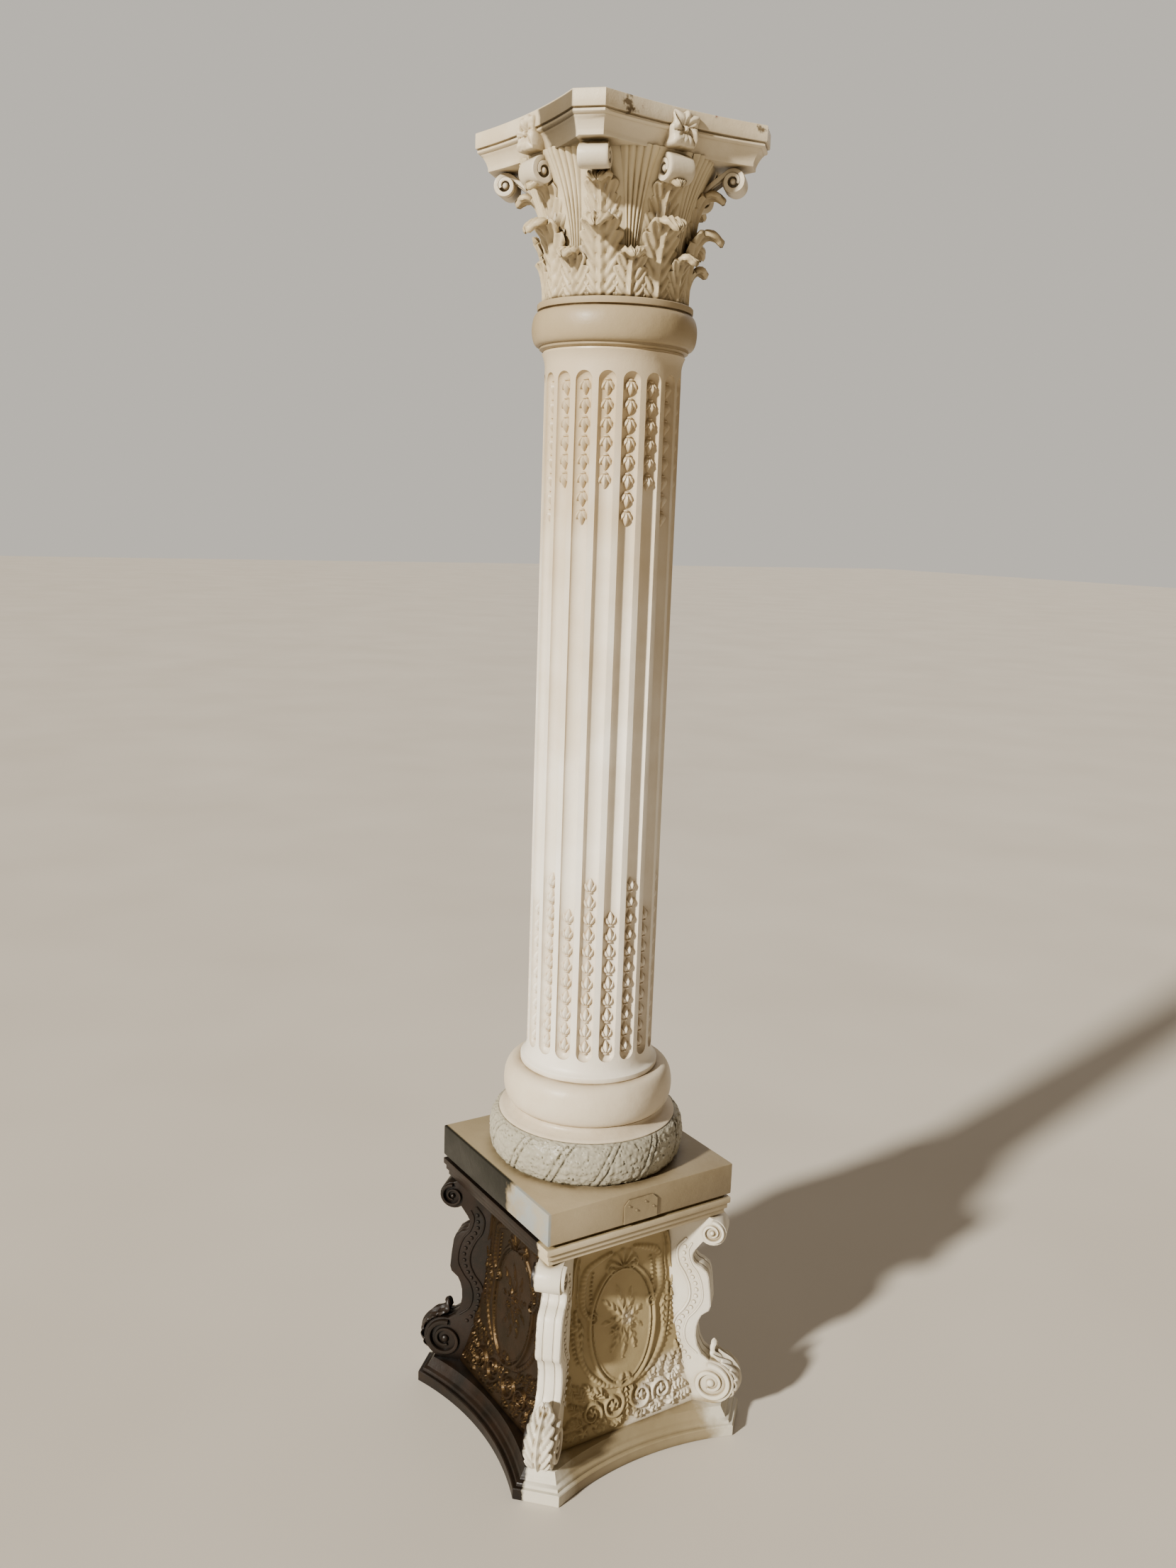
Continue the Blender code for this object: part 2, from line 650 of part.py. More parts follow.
def bell_radius(height):
    """The bell's radius: nearly straight below, flaring out under the abacus."""
    share = min(max((height - CAPITAL_FOOT) / BELL_HEIGHT, 0.0), 1.0)
    return BELL_FOOT_RADIUS + (BELL_LIP_RADIUS - BELL_FOOT_RADIUS) * share ** 2.4


def make_bell(shop):
    outline = [(0.0, ABACUS_FOOT + ROOT)]
    for i in range(BELL_RINGS + 1):
        height = ABACUS_FOOT + ROOT - (BELL_HEIGHT + ROOT) * i / BELL_RINGS
        outline.append((bell_radius(height), height))
    outline.append((0.0, CAPITAL_FOOT))
    bell = turned("bell", outline, BELL_STEPS, shop)
    return turned_to(bell, BELL_TWIST)


def leaf_line(foot, height, reach, share):
    """A point (radius, height) on a leaf's midrib: up the bell, then over and down."""
    start = bell_radius(foot) + LEAF_PROUD
    knots = [Vector((start, foot)), Vector((start, foot + 0.72 * height)),
             Vector((start + 0.45 * (reach - start), foot + 1.16 * height)),
             Vector((reach, foot + 0.80 * height))]
    left = 1 - share
    return (left ** 3 * knots[0] + 3 * left * left * share * knots[1]
            + 3 * left * share * share * knots[2] + share ** 3 * knots[3])


def leaf_half_width(share):
    """How wide a leaf is along its length, as a share: lobes, then a blunt tip."""
    body = math.sin(math.pi * (0.34 + 0.56 * share)) ** 0.6
    return body * (1 + 0.10 * math.cos(share * 6 * math.pi))


def leaf(angle, foot, bend, reach, half_width, shop, stations, sides, length=1.0):
    """A leaf that lies on the bell and turns its tip over; a broken one has less length."""
    height = bend - foot
    shape = bmesh.new()
    grid = []
    for i in range(stations):
        share = length * (i / (stations - 1)) ** LEAF_CROWDING
        radius, level = leaf_line(foot, height, reach, share)
        spread = half_width * leaf_half_width(share)
        row = []
        for side in sides:
            turn = angle + side * spread / radius
            out = radius - abs(side) * 0.28 * LEAF_THICKNESS
            sag = abs(side) * 0.16 * half_width * share * share
            row.append(shape.verts.new((out * math.cos(turn), out * math.sin(turn),
                                        level - sag)))
        grid.append(row)
    for low, high in zip(grid, grid[1:]):
        for i in range(len(sides) - 1):
            shape.faces.new((low[i], low[i + 1], high[i + 1], high[i]))
    mesh = bpy.data.meshes.new("leaf")
    shape.to_mesh(mesh)
    shape.free()
    piece = object_from("leaf", mesh, shop)
    shell = piece.modifiers.new("leaf thickness", 'SOLIDIFY')
    shell.thickness = LEAF_THICKNESS
    shell.offset = -1.0
    return baked(piece, shop)


def capital_scroll(angle, reach, width, shop):
    """A strap that climbs the bell and rolls over into a volute under the abacus."""
    centre = (reach, ABACUS_FOOT - VOLUTE_DROP)
    foot = CAPITAL_FOOT + STEM_FOOT_HEIGHT
    climb = centre[1] - foot
    outline = [(bell_radius(foot) - 2 * ROOT, foot), (bell_radius(foot) + 0.006, foot)]
    lip = (bell_radius(foot) + 0.010, foot + 0.45 * climb)
    under = (centre[0] - 1.15 * VOLUTE_RADIUS, centre[1] - 0.25 * VOLUTE_RADIUS)
    outline += [lip, ((lip[0] + under[0]) / 2 - 0.004, (lip[1] + under[1]) / 2 + 0.002), under]
    outline += arc(centre, VOLUTE_RADIUS, 215, 450, 6)
    outline += [(bell_radius(ABACUS_FOOT) - 2 * ROOT, ABACUS_FOOT + ROOT / 2),
                (bell_radius(foot) - 2 * ROOT, foot + 0.8 * climb)]
    return flat_piece("capital_scroll", outline, width, angle, shop)


def make_abacus(shop):
    """The abacus: a plain band, a small bead and a hollow below it, on a horned plan."""
    fascia = COLUMN_TOP - ABACUS_FASCIA_HEIGHT
    below = fascia - ABACUS_FOOT
    steps = [(1.0, ABACUS_FOOT), (0.92, ABACUS_FOOT + 0.40 * below),
             (0.55, ABACUS_FOOT + 0.78 * below), (0.36, fascia - 0.08 * below),
             (0.0, fascia + 0.12 * below), (0.0, COLUMN_TOP)]
    rings = []
    for share, height in steps:
        inset = share * ABACUS_MOULDING_DEPTH
        rings.append(horned_ring(HORN_REACH - inset,
                                 HORN_HALF_WIDTH - ABACUS_CORNER_NARROWING * inset,
                                 ABACUS_SIDE_REACH - inset, height, ABACUS_SIDE_STEPS))
    return lofted("abacus", rings, shop)


def fleuron(angle, shop):
    """The flower at the middle of one side of the abacus."""
    depth = FLEURON_RAISE + ABACUS_MOULDING_DEPTH + ROOT
    middle = (ABACUS_SIDE_REACH + FLEURON_RAISE - depth / 2,
              (ABACUS_FOOT + COLUMN_TOP) / 2 - 0.001, 0.0)
    stretch = Matrix.Diagonal((FLEURON_HALF_WIDTH, 0.46 * ABACUS_HEIGHT, 1.0, 1.0))
    lie_out = Matrix.Rotation(QUARTER, 4, 'Y')
    place = upright(angle) @ Matrix.Translation(middle) @ lie_out
    flower = drum("fleuron", 1.0, depth, 8, Matrix.Identity(4), shop, tip=0.7)
    flower.data.transform(place @ stretch)
    return [flower]


def make_capital(finish, parts, shop, cutters):
    forms = [make_abacus(shop)]
    forms += round_about(lambda angle: fleuron(angle, shop), SIDE_ANGLES)
    step = 2 * math.pi / LEAVES_IN_A_ROW
    for number in range(LEAVES_IN_A_ROW):
        length = BROKEN_LEAF_LENGTH if number == BROKEN_LEAF_PLACE else 1.0
        forms.append(leaf((number + 0.5) * step, CAPITAL_FOOT + ROOT / 4,
                          CAPITAL_FOOT + LOWER_LEAF_HEIGHT, LOWER_LEAF_REACH,
                          LOWER_LEAF_HALF_WIDTH, shop, LEAF_STATIONS, (-1, 0, 1), length))
        forms.append(leaf(number * step, CAPITAL_FOOT + UPPER_LEAF_FOOT_SHARE * LOWER_LEAF_HEIGHT,
                          CAPITAL_FOOT + UPPER_LEAF_HEIGHT, UPPER_LEAF_REACH,
                          UPPER_LEAF_HALF_WIDTH, shop, LEAF_STATIONS, (-1, 0, 1), length))
        forms.append(leaf(number * step, CAPITAL_FOOT + TOP_LEAF_FOOT_SHARE * UPPER_LEAF_HEIGHT,
                          CAPITAL_FOOT + TOP_LEAF_HEIGHT, TOP_LEAF_REACH,
                          TOP_LEAF_HALF_WIDTH, shop, TOP_LEAF_STATIONS, (-1, 1)))
    for angle in CORNER_ANGLES:
        forms.append(capital_scroll(angle, CORNER_SCROLL_REACH, CORNER_SCROLL_WIDTH, shop))
    for angle in SIDE_ANGLES:
        forms.append(capital_scroll(angle, SIDE_SCROLL_REACH, SIDE_SCROLL_WIDTH, shop))
    return joined("capital", make_bell(shop), forms, finish, parts, cutters)


def make_blank_plate(finish, parts, shop, cutters):
    """A small plate with clipped upper corners and four studs, flat on the plinth."""
    half = PLATE_WIDTH / 2
    low = PEDESTAL_TOP + PLATE_LIFT
    high = low + PLATE_HEIGHT
    back = PLINTH_HALF + JOINT_GAP
    outline = [(-half, low), (half, low), (half, high - PLATE_CLIP),
               (half - PLATE_CLIP, high), (-half + PLATE_CLIP, high), (-half, high - PLATE_CLIP)]
    outline = [(PLATE_MIDDLE + x, z) for x, z in outline]
    plate = flat_piece("plate", outline, PLATE_THICKNESS, 0.0, shop,
                       shift=back + PLATE_THICKNESS / 2)
    studs = []
    for across, share in ((-0.36, 0.74), (-0.14, 0.50), (0.13, 0.78), (0.38, 0.48)):
        middle = Vector((PLATE_MIDDLE + across * PLATE_WIDTH,
                         -(back + (PLATE_THICKNESS + STUD_RAISE) / 2 + 0.0002),
                         low + share * PLATE_HEIGHT))
        place = Matrix.Translation(middle) @ Matrix.Rotation(QUARTER, 4, 'X')
        studs.append(drum("stud", STUD_RADIUS, PLATE_THICKNESS + STUD_RAISE - 0.0004,
                          8, place, shop, tip=0.8))
    return joined("blank_plate", plate, studs, finish, parts, cutters)


def main():
    clear_scene()
    parts = new_collection("carved_column")
    cutters = new_collection("carved_column_cutters")
    shop = new_collection("workshop")
    ivory = (0.76, 0.69, 0.57)
    make_pedestal(paint("ivory_pedestal", (0.62, 0.53, 0.40), 0.45), parts, shop, cutters)
    make_column_base(paint("ivory_base", (0.74, 0.66, 0.54), 0.42), parts, shop, cutters)
    make_shaft(paint("ivory_shaft", ivory, 0.40), parts, shop, cutters)
    make_capital(paint("ivory_capital", (0.72, 0.64, 0.51), 0.45), parts, shop, cutters)
    make_blank_plate(paint("ivory_plate", (0.66, 0.58, 0.46), 0.45), parts, shop, cutters)
    for leftover in list(shop.objects):
        bpy.data.objects.remove(leftover, do_unlink=True)
    bpy.data.collections.remove(shop)


main()
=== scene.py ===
# %% [markdown]
# A garden or showroom column, about 2.1 m tall: a pedestal with four scroll consoles, a
# moulded base, a fluted shaft with husks in its flutes, and a leafy capital. The real
# one is cast in plaster or cast stone and painted ivory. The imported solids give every
# place and size, so this file loads them first and then lays the carving over them.

# %% Load the solids
import math
import bpy
import bmesh
import numpy as np
from mathutils import Matrix, Vector, noise


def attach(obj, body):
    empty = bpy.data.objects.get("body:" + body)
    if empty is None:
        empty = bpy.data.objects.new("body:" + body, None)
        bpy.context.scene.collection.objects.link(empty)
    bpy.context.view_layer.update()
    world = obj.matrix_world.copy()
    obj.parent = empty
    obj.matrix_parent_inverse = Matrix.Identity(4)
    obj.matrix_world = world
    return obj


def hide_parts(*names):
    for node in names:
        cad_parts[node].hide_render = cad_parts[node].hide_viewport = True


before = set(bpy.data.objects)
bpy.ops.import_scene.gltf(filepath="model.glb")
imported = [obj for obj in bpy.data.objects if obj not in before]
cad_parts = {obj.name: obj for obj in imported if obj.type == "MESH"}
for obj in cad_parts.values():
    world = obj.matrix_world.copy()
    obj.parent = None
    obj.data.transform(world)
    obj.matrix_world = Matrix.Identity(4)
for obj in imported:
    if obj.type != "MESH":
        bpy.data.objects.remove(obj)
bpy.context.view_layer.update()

# %% [markdown]
# The heights of the courses are the same as in the solids, in metres above the floor.
# A piece that is carved on a course takes its height from here, so the carving sits
# where the solid says it does.

# %% Name the heights and the directions
DIE_FOOT = 0.044
DIE_TOP = 0.390
CORNICE_TOP = 0.4205
PEDESTAL_TOP = 0.427
PLINTH_TOP = 0.4815
UPPER_TORUS_FOOT = 0.570
SHAFT_FOOT = 0.640
NECK_FOOT = 1.783
CAPITAL_FOOT = 1.852
ABACUS_FOOT = 2.046
COLUMN_TOP = 2.100
QUARTER = math.pi / 2
SIDES = [QUARTER * turn for turn in range(4)]
CORNERS = [math.radians(45) + QUARTER * turn for turn in range(4)]
JOINT_GAP = 0.0003
print("the column is", COLUMN_TOP, "m tall, and its shaft starts at", SHAFT_FOOT)

# %% [markdown]
# Most of this column is relief: low carving on a plain form. One way to make it is to
# sculpt. Here a grid of squares is made once by an operator and every point of it is
# then moved to its place on the real surface, out by the height of the carving there.
# It repeats exactly on four sides, and a change of one number carves it again.

# %% Make a grid and lay it over a surface
def skin(across, along, place):
    """A grid whose points are moved to place(u, v), with u and v from 0 to 1."""
    shape = bmesh.new()
    bmesh.ops.create_grid(shape, x_segments=across, y_segments=along, size=0.5)
    flat = np.array([vert.co[:2] for vert in shape.verts]) + 0.5
    spots = np.column_stack(place(flat[:, 0], flat[:, 1]))
    for vert, spot in zip(shape.verts, spots):
        vert.co = spot
    bmesh.ops.remove_doubles(shape, verts=shape.verts, dist=0.000002)
    return shape


def facing_out(shape, inside):
    """Turns the faces of an open surface so that they look away from a point inside."""
    inside = Vector(inside)
    look = sum(face.normal.dot(face.calc_center_median() - inside) * face.calc_area()
               for face in shape.faces)
    if look < 0:
        bmesh.ops.reverse_faces(shape, faces=shape.faces)
    return shape


def closed(shape):
    """Welds a closed shape and turns its faces outwards."""
    bmesh.ops.remove_doubles(shape, verts=shape.verts, dist=0.000005)
    bmesh.ops.recalc_face_normals(shape, faces=shape.faces)
    return shape


def turned_to(shape, angle):
    """A copy of a shape, turned about the column's axis."""
    copy = shape.copy()
    copy.transform(Matrix.Rotation(angle, 4, 'Z'))
    return copy


def make_piece(name, shapes, finish, node, crisp=38.0):
    """Joins shapes into one piece that stands for a solid; crisp is the least sharp angle."""
    whole = bmesh.new()
    for shape in shapes:
        part = bpy.data.meshes.new("part")
        shape.to_mesh(part)
        shape.free()
        whole.from_mesh(part)
        bpy.data.meshes.remove(part)
    mesh = bpy.data.meshes.new(name)
    whole.to_mesh(mesh)
    whole.free()
    mesh.polygons.foreach_set("use_smooth", [True] * len(mesh.polygons))
    mesh.set_sharp_from_angle(angle=math.radians(crisp))
    mesh.materials.append(finish)
    thing = bpy.data.objects.new(name, mesh)
    bpy.context.scene.collection.objects.link(thing)
    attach(thing, "root")
    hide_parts(node)
    triangles = sum(len(face.vertices) - 2 for face in mesh.polygons)
    print(name, triangles, "triangles")


# %% [markdown]
# The paint is an ivory oil or acrylic paint, brushed on, with a satin coat. It looks
# lighter where hands and cloths rub it and browner deep in the carving.
# Ambient occlusion finds those hollows, a large noise gives the uneven brushing, and a
# fine one the grain of the cast surface under the paint.

# %% Give a material its nodes
def linear(code):
    """An sRGB hex colour as the linear colour that a shader needs."""
    levels = [int(code[i:i + 2], 16) / 255 for i in (1, 3, 5)]
    return (*[v / 12.92 if v <= 0.04045 else ((v + 0.055) / 1.055) ** 2.4 for v in levels], 1.0)


def add_node(tree, kind, inputs, out=0, **settings):
    """Adds a node, sets its properties, fills or links its sockets, and gives one output."""
    made = tree.nodes.new("ShaderNode" + kind)
    for key, value in settings.items():
        setattr(made, key, value)
    for key, value in inputs.items() if isinstance(inputs, dict) else enumerate(inputs):
        if isinstance(value, bpy.types.NodeSocket):
            tree.links.new(value, made.inputs[key])
        else:
            made.inputs[key].default_value = value
    return made.outputs[out]


def patches(tree, place, size_mm, detail, start=0.0, end=1.0, low=0.3, high=0.7):
    """Uneven patches about so many millimetres across, as a value from start to end."""
    cloud = add_node(tree, 'TexNoise', {'Vector': place, 'Scale': 1000.0 / size_mm,
                                        'Detail': detail, 'Roughness': 0.55})
    return add_node(tree, 'MapRange', [cloud, low, high, start, end])


def lay_over(tree, colour, over, *masks):
    """Lays one colour over another where every mask is up; a mask may be a plain number."""
    mask = masks[0]
    for other in masks[1:]:
        mask = add_node(tree, 'Math', [mask, other], operation='MULTIPLY')
    return add_node(tree, 'Mix', {0: mask, 6: colour, 7: over}, 2, data_type='RGBA')


# %% [markdown]
# Every part has the same kind of paint, but not the same tone: light on the shaft, and
# brown in the pedestal's panels, partly as painted shade. So one function mixes the paint
# from three colours: on the open surface, where it is worn, and deep in a hollow.

# %% Mix the ivory paint
# Two bumps: the grain of the cast, finer in truth but drawn 3 mm wide so that it shows,
# and its slow lumps. Each is a size in mm, a detail, a strength and a depth in metres.
BUMPS = ((3.0, 3.0, 0.35, 0.0006), (22.0, 2.0, 0.50, 0.0012))


def ivory_paint(name, light, worn, deep, hollow_reach=0.022, hollow=(0.93, 0.45),
                marks=None, glint="#ffffff"):
    """Ivory satin paint on cast stone: light where it is rubbed, deep in the hollows."""
    finish = bpy.data.materials.new(name)
    finish.use_nodes = True
    tree = finish.node_tree
    shader = tree.nodes["Principled BSDF"]
    place = add_node(tree, 'TexCoord', {}, 'Object')
    brushed = patches(tree, place, 140, 5.0, low=0.36, high=0.66)
    colour = lay_over(tree, linear(light), linear(worn), brushed)
    shaded = add_node(tree, 'AmbientOcclusion', {'Distance': hollow_reach}, 'AO', samples=8)
    depth = add_node(tree, 'MapRange', [shaded, *hollow])
    uneven = patches(tree, place, 30, 4.0, 0.55, 1.0, low=0.30, high=0.62)
    colour = lay_over(tree, colour, linear(deep), depth, uneven)
    if marks:
        colour = marks(tree, place, colour, depth)
    tree.links.new(colour, shader.inputs['Base Color'])
    tree.links.new(patches(tree, place, 55, 3.0, 0.34, 0.50), shader.inputs['Roughness'])
    for socket, value in (('Coat Weight', 0.06), ('Coat Roughness', 0.28), ('IOR', 1.48),
                          ('Specular IOR Level', 0.28), ('Specular Tint', linear(glint))):
        shader.inputs[socket].default_value = value
    below = {}
    for size_mm, detail, strength, rise in BUMPS:
        height = patches(tree, place, size_mm, detail, low=0.0, high=1.0)
        bump = add_node(tree, 'Bump', {'Strength': strength, 'Distance': rise,
                                       'Height': height, **below})
        below = {'Normal': bump}
    tree.links.new(bump, shader.inputs['Normal'])
    return finish


# %% [markdown]
# Some places carry painted light and shade: a painted shadow on the pedestal's -X side,
# on the plinth and on the abacus by its front horn, a pale patch of painted light on the
# plinth's -X face, painted light and a painted highlight on the front panel's carving, and
# painted shade up the shaft. The foot is paler on its corners, and the abacus has stains
# and chips. A mark is a colour laid over the paint through masks. A mask tells how far a
# place lies in a direction, and a noise that is added to it makes its edge ragged.

# %% Paint the light and shade, and mark the stains and chips
LEFTWARDS = (-1.0, 1.0, 0.0)
FORWARDS = (-1.0, -1.0, 0.0)
ALONG_X = (1.0, 0.0, 0.0)
ALONG_Y = (0.0, 1.0, 0.0)
UPWARDS = (0.0, 0.0, 1.0)
# a stain or chip on the abacus: its middle, its reach and its colour
STAINS = (((-0.098, -0.176, 2.088), 0.013, "#5b4a31"),
          ((-0.090, -0.174, 2.077), 0.010, "#5b4a31"),
          ((-0.070, -0.170, 2.091), 0.004, "#7c4a3a"),
          ((0.128, -0.171, 2.093), 0.004, "#5b4a31"),
          ((0.052, -0.163, 2.099), 0.003, "#7c4a3a"),
          ((-0.172, 0.120, 2.066), 0.003, "#6d5c40"))


def past(tree, place, direction, start, full, ragged=0.0):
    """A mask that goes from 0 to 1 between two distances in a direction."""
    far = add_node(tree, 'VectorMath', [place, direction], 'Value', operation='DOT_PRODUCT')
    far = add_node(tree, 'Math', [far, ragged], operation='ADD')
    return add_node(tree, 'MapRange', [far, start, full])


def near_to(tree, place, direction, middle, start, full):
    """A mask on both sides of a plane: 0 at one distance from it and 1 at a lesser one."""
    far = add_node(tree, 'VectorMath', [place, direction], 'Value', operation='DOT_PRODUCT')
    far = add_node(tree, 'Math', [far, middle], operation='SUBTRACT')
    far = add_node(tree, 'Math', [far], operation='ABSOLUTE')
    return add_node(tree, 'MapRange', [far, start, full])


def painted_shadow_on_left_side(tree, place, colour, depth):
    """The painted shadow, dark brown, on the -X side, from the front console to the left one."""
    ragged = patches(tree, place, 12, 3.0, -0.003, 0.003)
    left = past(tree, place, LEFTWARDS, 0.0265, 0.0330, ragged)
    front = past(tree, place, FORWARDS, -0.0330, -0.0265)
    patch = patches(tree, place, 38, 4.0, low=0.34, high=0.66)
    shadow_colour = lay_over(tree, linear("#0f0a05"), linear("#1d120a"), patch)
    shadow_colour = lay_over(tree, shadow_colour, linear("#060302"), depth, 0.9)
    return lay_over(tree, colour, shadow_colour, left, front, 0.997)


def panel_painted_light_and_shadow(tree, place, colour, depth):
    """Painted light on the foliage by the right console, a painted highlight on the middle flowers
    in front, and the painted shadow on the -X side.
    """
    ragged = patches(tree, place, 26, 3.0, -0.02, 0.02)
    # painted light: the foliage by the right console is made pale
    right = past(tree, place, (1.0, 0.0, -0.55), -0.030, -0.012, ragged)
    low = past(tree, place, UPWARDS, 0.145, 0.110)
    near = past(tree, place, ALONG_Y, -0.10, -0.12)
    raised = add_node(tree, 'MapRange', [depth, 0.95, 0.35, 0.25, 0.92])
    colour = lay_over(tree, colour, linear("#e4dbc8"), right, low, near, raised)
    # a painted highlight on the middle flower of the front panel
    beside = near_to(tree, place, ALONG_X, 0.009, 0.013, 0.005)
    level = near_to(tree, place, UPWARDS, 0.226, 0.014, 0.006)
    colour = lay_over(tree, colour, linear("#d8cdb6"), beside, level, near, 0.7)
    return painted_shadow_on_left_side(tree, place, colour, depth)


def plinth_painted_light_and_shadow(tree, place, colour, depth):
    """Painted shadow over the left-back part and darker on the back of the -X face, and a pale
    patch of painted light by the front corner.
    """
    ragged = patches(tree, place, 45, 4.0, -0.03, 0.03)
    face = past(tree, place, ALONG_X, -0.1735, -0.1765)
    top = past(tree, place, LEFTWARDS, 0.10, 0.17, ragged)
    back = past(tree, place, ALONG_Y, -0.075, -0.045, ragged)
    front = past(tree, place, ALONG_Y, -0.060, -0.100, ragged)
    lit_patch = patches(tree, place, 35, 3.0, 0.45, 0.95, low=0.38, high=0.62)
    # painted shadow over the plinth's left-back part, darker on the back of the -X face
    colour = lay_over(tree, colour, linear("#83785d"), top, 0.35)
    colour = lay_over(tree, colour, linear("#14140e"), face, back, 0.99)
    # a pale patch of painted light on the -X face by the front corner
    return lay_over(tree, colour, linear("#8c908d"), face, front, lit_patch)


def abacus_stains_and_painted_shadow(tree, place, colour, depth):
    """Stains and small chips, and a painted shadow on the -X side towards the front horn."""
    ragged = patches(tree, place, 9, 4.0, -0.007, 0.007)
    for centre, reach, code in STAINS:
        gap = add_node(tree, 'VectorMath', [place, centre], 'Value', operation='DISTANCE')
        gap = add_node(tree, 'Math', [gap, ragged], operation='ADD')
        spot = add_node(tree, 'MapRange', [gap, reach + 0.002, reach - 0.003])
        colour = lay_over(tree, colour, linear(code), spot, 0.9)
    # the painted shadow on the -X side between the front horn and the flower
    uneven = patches(tree, place, 25, 3.0, -0.006, 0.006)
    face = past(tree, place, ALONG_X, -0.120, -0.135)
    near = past(tree, place, ALONG_Y, -0.030, -0.040, uneven)
    left = past(tree, place, LEFTWARDS, 0.030, 0.034)
    under_top = past(tree, place, UPWARDS, COLUMN_TOP - 0.0010, COLUMN_TOP - 0.0030)
    return lay_over(tree, colour, linear("#463b29"), face, near, left, under_top, 0.88)


def shaft_painted_shade(tree, place, colour, depth):
    """Painted shade that darkens the shaft towards its top, in uneven patches."""
    ragged = patches(tree, place, 160, 3.0, -0.20, 0.20)
    high = past(tree, place, UPWARDS, 1.10, 1.65, ragged)
    return lay_over(tree, colour, linear("#c0ac89"), high, 0.85)


def foot_corners_and_painted_shadow(tree, place, colour, depth):
    """The foot is paler on its corners, and carries the painted shadow on its -X side."""
    reach = add_node(tree, 'VectorMath', [place], operation='ABSOLUTE')
    least = add_node(tree, 'Math', [add_node(tree, 'SeparateXYZ', [reach], axis) for axis in 'XY'],
                     operation='MINIMUM')
    ragged = patches(tree, place, 30, 3.0, -0.012, 0.012)
    corner = add_node(tree, 'Math', [least, ragged], operation='ADD')
    corner = add_node(tree, 'MapRange', [corner, 0.125, 0.160])
    colour = lay_over(tree, colour, linear("#d2ccbb"), corner, 0.85)
    return painted_shadow_on_left_side(tree, place, colour, depth)


# %% [markdown]
# The tones below are matched to the photo. The plinth, foot and neck are darker as
# painted shade, and the panels and leaves partly so. The reach of the hollows is small
# where the carving is fine, and the panels' paint gives a golden glint where the light
# strikes it.

# %% Mix the paints of the parts
# the shaft is darkened towards its top by painted shade
SHAFT_PAINT = ivory_paint("ivory_satin_paint_shaft", "#f3ecde", "#e9dfcd", "#b39f7e",
                          marks=shaft_painted_shade)
RING_PAINT = ivory_paint("ivory_satin_paint_mouldings", "#dccfb8", "#ccbca1", "#917d5d")
# the plinth's dark tone is painted shade, and its marks are painted light and shadow
PLINTH_PAINT = ivory_paint("ivory_satin_paint_plinth", "#a19276", "#928265", "#5a4b32",
                           marks=plinth_painted_light_and_shadow)
# the cornice carries the painted shadow on its -X side
CORNICE_PAINT = ivory_paint("ivory_satin_paint_cornice", "#c6b799", "#b3a384", "#74633f", 0.012,
                            marks=painted_shadow_on_left_side)
# the foot's dark tone is painted shade, and it carries the painted shadow on its -X side
FOOT_PAINT = ivory_paint("ivory_paint_foot_with_painted_shade", "#96886b", "#857659", "#5d4e34", 0.014,
                         marks=foot_corners_and_painted_shadow)
TORUS_PAINT = ivory_paint("ivory_paint_on_leafy_torus", "#aba593", "#97917f", "#5b5440",
                          0.010, (0.97, 0.55))
# the neck's darker tone is painted shade
NECK_PAINT = ivory_paint("ivory_satin_paint_neck", "#a89677", "#9a8868", "#6d593a")
# the panels' brown is partly their own tone and partly painted shade; their marks add painted
# light and the painted shadow
PANEL_PAINT = ivory_paint("browned_ivory_paint_panels_with_painted_shade", "#ab9b77", "#978765", "#786846",
                          0.016, (0.97, 0.50), panel_painted_light_and_shadow, "#ffc97a")
# the consoles carry the painted shadow on the -X side
CONSOLE_PAINT = ivory_paint("ivory_satin_paint_consoles", "#e3dccd", "#d1c8b4", "#82714f",
                            0.014, marks=painted_shadow_on_left_side)
# the leaves' darker tone is partly painted shade
LEAF_PAINT = ivory_paint("toned_ivory_paint_leaves", "#cbba98", "#b8a683", "#5c4b2f",
                         0.018, (0.95, 0.40))
BELL_PAINT = ivory_paint("toned_ivory_paint_bell", "#dccdac", "#cbba97", "#7d6a48",
                         0.012, (0.92, 0.40))
VOLUTE_PAINT = ivory_paint("ivory_satin_paint_volutes", "#d9ceb8", "#c6b89c", "#6c5b3d", 0.014)
# the abacus carries stains, chips and a painted shadow by its front horn
ABACUS_PAINT = ivory_paint("ivory_satin_paint_abacus", "#dfd2b8", "#ccbb9b", "#7c6947",
                           marks=abacus_stains_and_painted_shadow)
PLATE_PAINT = ivory_paint("painted_over_sheet_metal", "#9d8e72", "#8e7e61", "#564730", 0.006)
print("the paints are mixed:", len(bpy.data.materials), "materials")

# %% [markdown]
# Carving is drawn as heights in millimetres. A ridge, a scroll that winds in to its eye,
# a leaf along a line and a row of beads are enough for this kind of ornament. Where two
# of them meet, the higher one wins, as one form lies over another on the real panel.

# %% Draw the forms that the carving is made of
def ridge(distance, half, height):
    """A round ridge: its full height in the middle, nothing at half its width."""
    return height * np.sqrt(np.clip(1 - (distance / half) ** 2, 0, 1))


def smooth_line(points, fine=8):
    """A curve through a few points, as many short steps."""
    ends = np.array(points, float)
    ends = np.vstack([2 * ends[0] - ends[1], ends, 2 * ends[-1] - ends[-2]])
    out = []
    for i in range(1, len(ends) - 2):
        before, first, second, after = ends[i - 1:i + 3]
        for t in np.arange(fine) / fine:
            out.append(0.5 * (2 * first + (second - before) * t
                              + (2 * before - 5 * first + 4 * second - after) * t ** 2
                              + (3 * first - before - 3 * second + after) * t ** 3))
    out.append(ends[-2])
    return np.array(out)


